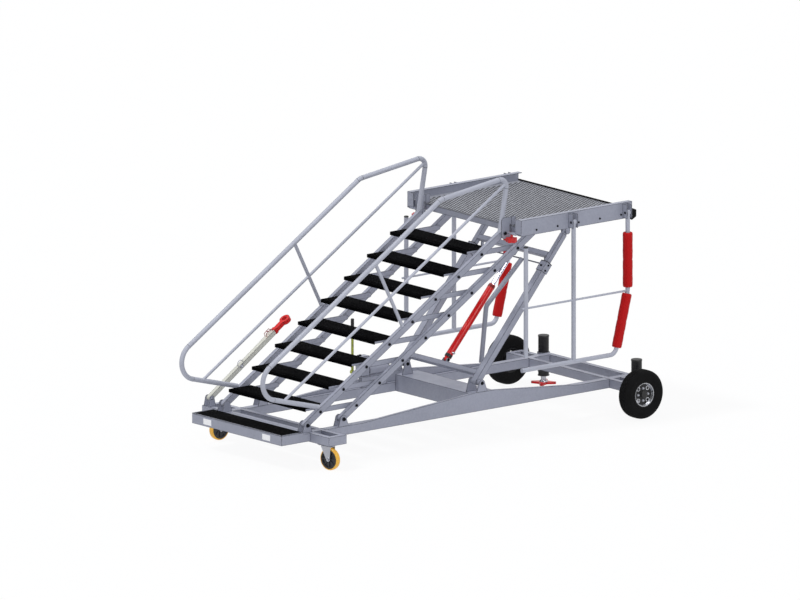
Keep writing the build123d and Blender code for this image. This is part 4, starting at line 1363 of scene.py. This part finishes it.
# ---------------------------------------------------------------- staircase
@dataclass
class Staircase:
    """The parallelogram staircase: stringers, level treads with their mats, and handrails.

    The handrail's corners are given in Y and Z, the lower two from the stairs' low pivot and the
    upper three from the platform's pivot.
    """

    treads: int = 8
    mat: float = 0.003
    mat_half: float = 0.5025
    ribs: int = 5
    rib_pitch: float = 0.009
    nosing: float = 0.026
    plate_rise: float = 0.032
    plate_depth: float = 0.240
    pin_face: float = 0.5513
    rail_x: float = 0.530
    rail_foot: tuple[tuple[float, float], ...] = ((0.142, 0.133), (-0.688, 0.352))
    rail_head: tuple[tuple[float, float], ...] = ((-0.6656, 0.3737), (0.0584, 0.4677), (-0.0266, 0.0017))
    rail_bends: tuple[float, float, float] = (0.156, 0.110, 0.070)

    def dress(self) -> None:
        """Give the staircase's nodes their finishes."""
        Frame.dress(Finish.FRAME, "stringers_upper", "stringers_lower", ease=0.0016)
        Frame.dress(Finish.RAIL, "handrail_left", "handrail_right")
        for number in range(1, self.treads + 1):
            Frame.dress(Finish.FRAME, f"tread_{number}")

    def tread_mat(self, number: int) -> None:
        """Cover a tread with its ribbed anti-slip mat, turned down over the nose.

        Args:
            number: The tread's number, from the bottom.
        """
        reach = self.mat_half
        front = Frame.box(f"tread_{number}")[0].y
        back = front + self.plate_depth
        top = Frame.pivot(f"step_{number}_level").z + self.plate_rise
        skin = top + self.mat
        mat = Shape()
        mat.block((-reach, front - 0.001, top), (reach, back - 0.004, skin), 0.0008)
        mat.block((-reach, front - self.mat, top - self.nosing), (reach, front, skin), 0.0008)
        for i in range(self.ribs):
            y = front + 0.008 + i * self.rib_pitch
            mat.block((-reach + 0.01, y, skin - 0.0003), (reach - 0.01, y + 0.004, skin + 0.0012), 0.0005)
        mat.piece(f"tread_mat_{number}", Finish.GRIP, f"step_{number}")

    def tread_bolts(self, number: int) -> None:
        """Put a dark bolt on each end of a tread's pins.

        Args:
            number: The tread's number, from the bottom.
        """
        pivot = Frame.pivot(f"step_{number}_level")
        bolts = Shape()
        for offset in Frame.pin_rows():
            bolts.bolt_pair(pivot + offset, self.pin_face, 0.017, 0.007)
        bolts.piece(f"tread_bolts_{number}", Finish.DARK_STEEL, f"step_{number}")

    def rail_fittings(self) -> None:
        """Ring the handrails with thin dark seams where their bent pieces meet the straight ones."""
        route = [Frame.pivot(name) + Vector((0, y, z))
                 for name, corners in (("lift", self.rail_foot), ("platform_level", self.rail_head))
                 for y, z in corners]
        seams = Shape()
        for back, corner, ahead, bend in zip(route, route[1:], route[2:], self.rail_bends):
            ways = [(back - corner).normalized(), (ahead - corner).normalized()]
            reach = bend / math.tan(ways[0].angle(ways[1]) / 2)
            for way in ways:
                spot = corner + way * reach
                for sign in (1, -1):
                    seams.washer(0.0195, 0.0217, 0.0026, aim((sign * self.rail_x, spot.y, spot.z), way), 32)
        seams.piece("handrail_seams", Finish.DARK_STEEL, "stair")

    def build(self) -> None:
        """Dress the staircase and add its mats, bolts and seams."""
        self.dress()
        for number in range(1, self.treads + 1):
            self.tread_mat(number)
            self.tread_bolts(number)
        self.rail_fittings()


# ---------------------------------------------------------------- platform
@dataclass
class Platform:
    """The platform: side beams, embossed deck, bumper, hinge brackets and star knobs."""

    pitch: float = 0.034
    row_share: float = 0.866
    button: float = 0.0135
    button_height: float = 0.0022
    bumper_bolts: int = 7
    deck_bolts: int = 5
    pin_face: float = 0.571
    hinge_half: float = 0.027
    plate_faces: tuple[float, float] = (0.556, 0.564)
    tail_depth: float = 0.046

    def dress(self) -> None:
        """Give the platform's nodes their finishes."""
        Frame.dress(Finish.FRAME, "platform_beams", "platform_joists", "pivot_plates", "strut_ears",
                    "hinge_brackets", "knob_plates", ease=0.0014)
        Frame.dress(Finish.DECK, "deck")
        Frame.dress(Finish.BUMPER, "bumper")
        Frame.dress(Finish.KNOB, "knobs", ease=0.002)

    def button_places(self) -> list[Matrix]:
        """Find where the deck's buttons stand, in staggered rows."""
        low, high = Frame.box("deck")
        rows = int((high.y - low.y - 0.02) / (self.pitch * self.row_share))
        columns = int((high.x - low.x - 0.10) / self.pitch)
        places = []
        for row in range(rows + 1):
            y = low.y + 0.012 + row * self.pitch * self.row_share
            shift = (row % 2) * self.pitch / 2
            for column in range(columns):
                x = -(columns - 1) * self.pitch / 2 + column * self.pitch + shift - self.pitch / 4
                places.append(Matrix.Translation((x, y, high.z)))
        return places

    def deck_buttons(self) -> None:
        """Raise the deck plate's rows of punched buttons, each with its hole drawn as a flat black disc of
        painted shade.
        """
        radius, height = self.button, self.button_height
        ring = [(radius, 0.0), (radius * 0.86, height), (radius * 0.76, height), (radius * 0.72, 0.0002)]
        # Each hole is a flat black disc on the deck: painted shade for the dark seen through the hole.
        hole = [(radius * 0.74, 0.0002), (0, 0.0005)]
        buttons = Shape()
        hole_shade_discs = Shape()
        for place in self.button_places():
            buttons.lathe(ring, place, 8, ring=True)
            hole_shade_discs.lathe(hole, place, 8)
        buttons.piece("deck_buttons", Finish.DECK, "platform", 60)
        hole_shade_discs.piece("deck_hole_shade", Finish.GREASE_CAP, "platform", 60)

    def bolts(self) -> None:
        """Fasten the bumper and the deck."""
        low, high = Frame.box("bumper")
        middle = (low + high) / 2
        deck_low, deck_high = Frame.box("deck")
        beam_face = Frame.box("platform_beams")[1].x
        bolts = Shape()
        for i in range(self.bumper_bolts):
            x = low.x + 0.09 + i * (high.x - low.x - 0.18) / (self.bumper_bolts - 1)
            bolts.disc(0.009, 0.002, aim((x, high.y - 0.0005, middle.z), (0, 1, 0)), 0.0006, 20)
        for i in range(self.deck_bolts):
            y = deck_low.y + 0.12 + i * (deck_high.y - deck_low.y - 0.24) / (self.deck_bolts - 1)
            bolts.bolt_pair(Vector((0, y, deck_high.z - 0.025)), beam_face, 0.013, 0.005)
        bolts.piece("platform_bolts", Finish.DARK_STEEL, "platform")

    def hinge_pins(self) -> None:
        """Head the pins that the guardrails fold on."""
        pins = Shape()
        for side in SIDES:
            for offset in (0.0, -GUARD_POST_GAP):
                for end in (1, -1):
                    spot = Frame.pivot(f"guard_{side}_fold") + Vector((0, offset + end * self.hinge_half, 0))
                    pins.disc(0.011, 0.004, aim(spot, (0, end, 0)), 0.001, 24)
        pins.piece("hinge_pin_heads", Finish.DARK_STEEL, "platform")

    def pivot_plates(self) -> None:
        """Carry the pivot plates on over the deck's front edge, and put nuts on their pins."""
        deck_low, deck_high = Frame.box("deck")
        top = Frame.box("platform_beams")[1].z
        tails = Shape()
        for sign in (1, -1):
            inner, outer = sorted(sign * face for face in self.plate_faces)
            tails.block((inner, deck_low.y, deck_high.z), (outer, deck_low.y + self.tail_depth, top), 0.001)
        tails.piece("pivot_plate_tails", Finish.FRAME, "platform")
        nuts = Shape()
        for offset in Frame.pin_rows():
            nuts.bolt_pair(Frame.pivot("platform_level") + offset, self.pin_face, 0.020, 0.008)
        nuts.piece("platform_pivot_nuts", Finish.DARK_STEEL, "platform")

    def build(self) -> None:
        """Dress the platform and add its small pieces."""
        self.dress()
        self.deck_buttons()
        self.bolts()
        self.hinge_pins()
        self.pivot_plates()


@dataclass
class Guardrail:
    """A folded guardrail with its two red foam sleeves."""

    side: str
    tube: float = 0.019
    mid_tube: float = 0.009
    mid_post: float = GUARD_POST_GAP
    free_post: float = 1.101
    upper_end: float = 0.634
    lean_top: float = 0.660
    lean_run: float = 0.135
    mid_rail: float = 0.665
    bottom_rail: float = 1.190
    free_end: float = 0.150
    foam_bore: float = 0.0193
    foam_rows: int = 44
    seam_angle: float = 2.6

    def build(self) -> None:
        """Dress the tubes and build the sleeves."""
        Frame.dress(Finish.RAIL, f"guardrail_{self.side}")
        post = Frame.pivot(f"guard_{self.side}_fold")
        low, high = Frame.box(f"sleeves_{self.side}")
        outer = (high.x - low.x) / 2
        body = f"guard_{self.side}"
        foot = Vector((post.x, post.y, post.z - self.upper_end))
        upper = self.sleeve("upper_sleeve", Vector((post.x, post.y, high.z)), foot, outer)
        start = Vector((post.x, post.y, post.z - self.lean_top))
        end = Vector((post.x, post.y - self.lean_run, post.z - self.bottom_rail))
        along = (end - start).normalized()
        length = (end - start).length
        lower = self.sleeve("lower_sleeve", start + along * 0.030, start + along * (length - 0.057), outer)
        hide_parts(f"sleeves_{self.side}")
        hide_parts(f"sleeves_{self.side}")
        welds = Shape()
        middle = post.z - self.mid_rail
        for y in (-self.tube, self.tube - self.mid_post, self.tube - self.free_post):
            ring = circle_points((post.x, post.y + y, middle), (0, 1, 0), self.mid_tube, 24)
            welds.bead(ring, 0.002, True)
        ring = circle_points((post.x, post.y - self.mid_post, end.z + self.tube), (0, 0, 1), self.tube, 24)
        welds.bead(ring, 0.002, True)
        welds.piece(f"guardrail_welds_{self.side}", Finish.RAIL, body)
        plug = Shape()
        plug.lathe([(0.0, 0.0), (0.0196, 0.0), (0.0196, 0.008), (0.016, 0.0105), (0.0, 0.011)],
                   Matrix.Translation((post.x, post.y - self.free_post, post.z - self.free_end)), 28)
        plug.piece(f"post_plug_{self.side}", Finish.GREASE_CAP, body)

    def sleeve(self, name: str, top: Vector, foot: Vector, outer: float) -> bpy.types.Object:
        """Build one foam sleeve: a soft thick tube with rolled ends and a glued seam.

        Args:
            name: The sleeve's name.
            top: Its upper end.
            foot: Its lower end.
            outer: Its outer radius.

        Returns:
            The sleeve.
        """
        shape = Shape()
        length = (foot - top).length
        inner = self.foam_bore
        profile: list[tuple[float, float]] = [(inner, 0.004), (outer - 0.010, 0.0), (outer - 0.004, 0.003)]
        for i in range(self.foam_rows + 1):
            share = i / self.foam_rows
            pinch = 0.0016 * math.exp(-((share - 0.5) / 0.012) ** 2)
            ripple = 0.0006 * math.sin(share * 23.0) + 0.0004 * math.sin(share * 61.0)
            profile.append((outer - 0.0012 - pinch + ripple, 0.010 + share * (length - 0.020)))
        profile += [(outer - 0.004, length - 0.003), (outer - 0.010, length), (inner, length - 0.004)]
        place = aim(top, foot - top, (1, 0, 0))
        shape.lathe(profile, place, 56, ring=True)
        for vertex in shape.mesh.verts:
            spot = place.inverted() @ vertex.co
            angle = math.atan2(spot.y, spot.x)
            seam = math.exp(-(math.remainder(angle - self.seam_angle, 2 * math.pi) / 0.05) ** 2)
            radial = Vector((spot.x, spot.y, 0))
            if radial.length > inner + 0.003:
                radial = radial.normalized() * (radial.length - 0.0022 * seam)
                vertex.co = place @ Vector((radial.x, radial.y, spot.z))
        made = shape.piece(f"{name}_{self.side}", Finish.FOAM, f"guard_{self.side}", 60)
        return made


# ---------------------------------------------------------------- struts and ram
@dataclass
class LiftGear:
    """The telescopic struts, the hydraulic ram and the latch release."""

    strut_x: float = 0.475
    mouth: float = 1.185
    collar_middle: float = 1.140
    collar_half: tuple[float, float] = (0.039, 0.033)       # across and deep
    bore_half: tuple[float, float] = (0.0235, 0.0205)       # across and deep
    rod_x: float = 0.412
    latch: tuple[float, float] = (1.186, -0.048)            # along the strut from its foot, and across
    coil_turns: int = 9
    coil_radius: float = 0.0105
    coil_pitch: float = 0.0046
    gland_start: float = 0.745
    ram_eye_face: float = 0.0275

    def __post_init__(self) -> None:
        """Find the feet and the directions of the strut and the ram."""
        self.strut_way = Frame.axis("strut_slide")
        self.ram_way = Frame.axis("ram_slide")
        self.strut_foot = Frame.pivot("strut_turn")
        self.ram_foot = Frame.pivot("ram_turn")
        self.normal = Vector((0, -self.strut_way.z, self.strut_way.y))

    def struts(self) -> None:
        """Dress the struts and add their guide pads, bolts and bosses."""
        Frame.dress(Finish.FRAME, "strut_outer", "strut_inner", ease=0.0014)
        Frame.dress(Finish.FRAME, "release_lever")
        hardware = Shape()
        pads = Shape()
        outer, deep = self.collar_half
        inner, core = self.bore_half
        for sign in (1, -1):
            base = self.strut_foot + Vector((sign * self.strut_x, 0, 0))
            place = aim(base + self.strut_way * self.mouth, self.strut_way, self.normal)
            for x0, x1, y0, y1 in ((-outer, outer, core, deep), (-outer, outer, -deep, -core),
                                   (inner, outer, -core, core), (-outer, -inner, -core, core)):
                pads.block((x0 + 0.001, y0, 0.0002), (x1 - 0.001, y1, 0.006), 0.001, place)
            collar = base + self.strut_way * self.collar_middle
            for end in (1, -1):
                for along in (-0.026, 0.026):
                    spot = collar + self.strut_way * along + Vector((end * outer, 0, 0))
                    hardware.bolt(aim(spot, (end, 0, 0)), 0.013, 0.006)
                spot = collar - self.normal * (deep * end)
                hardware.bolt(aim(spot, self.normal * -end), 0.014, 0.008)
            boss = aim(collar - Vector((sign * outer, 0, 0)), (-sign, 0, 0))
            hardware.disc(0.019, 0.013, boss, 0.002, 32)
            hardware.disc(0.009, 0.021, boss, 0.001, 24)
        pads.piece("strut_guide_pads", Finish.GREASE_CAP, "strut_lower")
        hardware.piece("strut_bolts", Finish.DARK_STEEL, "strut_lower")

    def latches(self) -> None:
        """Add the latch hooks, springs and pins at the upper tie."""
        hooks = Shape()
        springs = Shape()
        along, across = self.latch
        middle = self.strut_foot + self.strut_way * along + self.normal * across
        for sign in (1, -1):
            rod = middle + Vector((sign * self.rod_x, 0, 0))
            hooks.disc(0.021, 0.018, aim(rod - Vector((0.009, 0, 0)), (1, 0, 0)), 0.002, 28)
            hooks.block((-0.005, -0.012, -0.045), (0.005, 0.012, 0.004), 0.002,
                        aim(rod, self.strut_way, (1, 0, 0)))
            coil = []
            for i in range(self.coil_turns * 10 + 1):
                turn = polar(self.coil_radius, 2 * math.pi * i / 10)
                centre = rod - Vector((sign * (0.030 + self.coil_pitch * i / 10), 0, 0))
                coil.append(centre + self.strut_way * turn.x + self.normal * turn.y)
            springs.tube(coil, 0.0016, 8)
        hooks.piece("latch_hooks", Finish.DARK_STEEL, "strut_upper")
        springs.piece("latch_springs", Finish.STEEL, "strut_upper")

    def ram(self) -> None:
        """Dress the ram and add its gland, end cap, port and foot nuts."""
        Frame.dress(Finish.RED, "ram_barrel")
        Frame.dress(Finish.CHROME, "ram_rod")
        place = aim(self.ram_foot, self.ram_way, (1, 0, 0))
        start = self.gland_start
        gland = Shape()
        gland.lathe([(0.0208, start), (0.0292, start), (0.0292, start + 0.007), (0.026, start + 0.012),
                     (0.0208, start + 0.012)], place, 48, ring=True)
        gland.lathe([(0.0298, start - 0.023), (0.0312, start - 0.021), (0.0312, start - 0.003),
                     (0.0298, start - 0.0002)], place, 48, ring=True)
        gland.piece("ram_gland", Finish.RED, "ram_lower")
        cap = Shape()
        cap.lathe([(0.0298, 0.0222), (0.0318, 0.023), (0.0318, 0.048), (0.0298, 0.050)], place, 48, ring=True)
        cap.piece("ram_end_cap", Finish.BLACK, "ram_lower")
        port = Shape()
        spot = place @ Vector((0.0, 0.028, 0.070))
        port.lathe([(0.012, 0), (0.012, 0.010), (0.009, 0.012), (0.009, 0.022), (0.0, 0.022)],
                   aim(spot, place.to_3x3() @ Vector((0, 1, 0))), 24)
        port.piece("ram_port", Finish.STEEL, "ram_lower")
        nuts = Shape()
        nuts.bolt_pair(self.ram_foot, self.ram_eye_face, 0.018, 0.007)
        nuts.piece("ram_foot_nuts", Finish.DARK_STEEL, "strut_lower")

    def build(self) -> None:
        """Dress the lifting gear and add its small pieces."""
        self.struts()
        self.latches()
        self.ram()


# ---------------------------------------------------------------- studio
def direction(azimuth: float, elevation: float) -> Vector:
    """Point from the object to a place round it.

    Args:
        azimuth: In degrees from -Y towards +X.
        elevation: In degrees above the floor.

    Returns:
        A direction of length 1.
    """
    turn, tilt = math.radians(azimuth), math.radians(elevation)
    return Vector((math.sin(turn) * math.cos(tilt), -math.cos(turn) * math.cos(tilt), math.sin(tilt)))


@dataclass(frozen=True)
class Lamp:
    """A sun lamp, with the direction it stands in and its apparent size in degrees."""

    name: str
    strength: float
    azimuth: float
    elevation: float
    softness: float
    shadow: bool = True

    def hang(self) -> None:
        """Add the lamp to the scene; a filling lamp casts no shadow."""
        data = bpy.data.lights.new(self.name, "SUN")
        data.use_shadow = self.shadow
        data.energy = self.strength
        data.angle = math.radians(self.softness)
        towards = direction(self.azimuth, self.elevation)
        lamp = bpy.data.objects.new(self.name, data)
        lamp.rotation_euler = (-towards).to_track_quat("-Z", "Y").to_euler()
        lamp.location = towards * 8
        bpy.context.scene.collection.objects.link(lamp)


@dataclass
class Studio:
    """A plain white floor, soft light and a camera that sees without perspective."""

    azimuth: float = 50.4
    elevation: float = 12.42
    distance: float = 12.0
    frame_width: float = 6.667
    aim_point: Point = (-1.0644, -1.0053, 0.821)   # its Y runs from the rear axle
    floor_half: float = 60.0
    floor_glow: float = 0.86
    fill: float = 0.45
    lamps: tuple[Lamp, ...] = (Lamp("key", 0.9, -20.0, 58.0, 8.0),
                               Lamp("top", 1.3, 0.0, 88.0, 12.0, shadow=False),
                               Lamp("side", 0.9, 80.0, 25.0, 12.0, shadow=False))

    def camera(self) -> None:
        """Set the camera with parallel sight lines."""
        data = bpy.data.cameras.new("camera")
        data.type = "ORTHO"
        data.ortho_scale = self.frame_width
        data.clip_end = 200.0
        forward = -direction(self.azimuth, self.elevation)
        camera = bpy.data.objects.new("camera", data)
        axle = Vector((0, Frame.middle("tyre_right").y, 0))
        camera.location = axle + Vector(self.aim_point) - forward * self.distance
        camera.rotation_euler = forward.to_track_quat("-Z", "Y").to_euler()
        bpy.context.scene.collection.objects.link(camera)
        bpy.context.scene.camera = camera

    def floor(self) -> None:
        """Lay the pale floor, which shows white to the camera and keeps a faint shadow."""
        mesh = bmesh.new()
        bmesh.ops.create_grid(mesh, x_segments=8, y_segments=8, size=self.floor_half)
        data = bpy.data.meshes.new("floor")
        mesh.to_mesh(data)
        mesh.free()
        floor = bpy.data.objects.new("floor", data)
        sketch = ShaderSketch("studio floor")
        sketch.colour(sketch.blend(sketch.noise(3.0), (0.80, 0.80, 0.80, 1), (0.83, 0.83, 0.83, 1)))
        sketch.settle(Roughness=0.9)
        glow = sketch.add("ShaderNodeEmission", Color=(1, 1, 1, 1), Strength=1.0)
        share = sketch.maths("MULTIPLY", sketch.seen(), self.floor_glow)
        sketch.mix_shaders(share, sketch.shader.outputs["BSDF"], glow.outputs["Emission"], "Material Output")
        data.materials.append(sketch.material)
        bpy.context.scene.collection.objects.link(floor)

    def world(self) -> None:
        """Light the object evenly and show white behind it."""
        world = bpy.data.worlds.new("studio")
        bpy.context.scene.world = world
        world.use_nodes = True
        sheet = NodeSheet(world.node_tree)
        plain = sheet.tree.nodes["Background"]
        plain.inputs["Color"].default_value = (0.92, 0.94, 1.0, 1)
        plain.inputs["Strength"].default_value = self.fill
        white = sheet.add("ShaderNodeBackground", Color=(1, 1, 1, 1))
        sheet.mix_shaders(sheet.seen(), plain.outputs["Background"], white.outputs["Background"],
                          "World Output")

    def build(self) -> None:
        """Set up the whole studio."""
        bpy.context.scene.view_settings.view_transform = "Standard"
        self.camera()
        self.world()
        self.floor()
        for lamp in self.lamps:
            lamp.hang()


def main() -> None:
    """Load the frame, build every sub-assembly and set up the studio."""
    logging.basicConfig(level=logging.INFO, format="%(message)s")
    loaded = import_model()
    Frame.nodes = loaded["nodes"]
    Frame.joints = loaded["joints"]
    Frame.record = loaded["record"]
    Studio().build()
    assemblies = [Base(), Drawbar(), HandPump(), Staircase(), Platform(), LiftGear()]
    for side in SIDES:
        assemblies += [RoadWheel(side), Caster(side), Jack(side), Guardrail(side)]
    for assembly in assemblies:
        assembly.build()
        LOG.info("built %s", type(assembly).__name__)


if __name__ == "__main__":
    main()
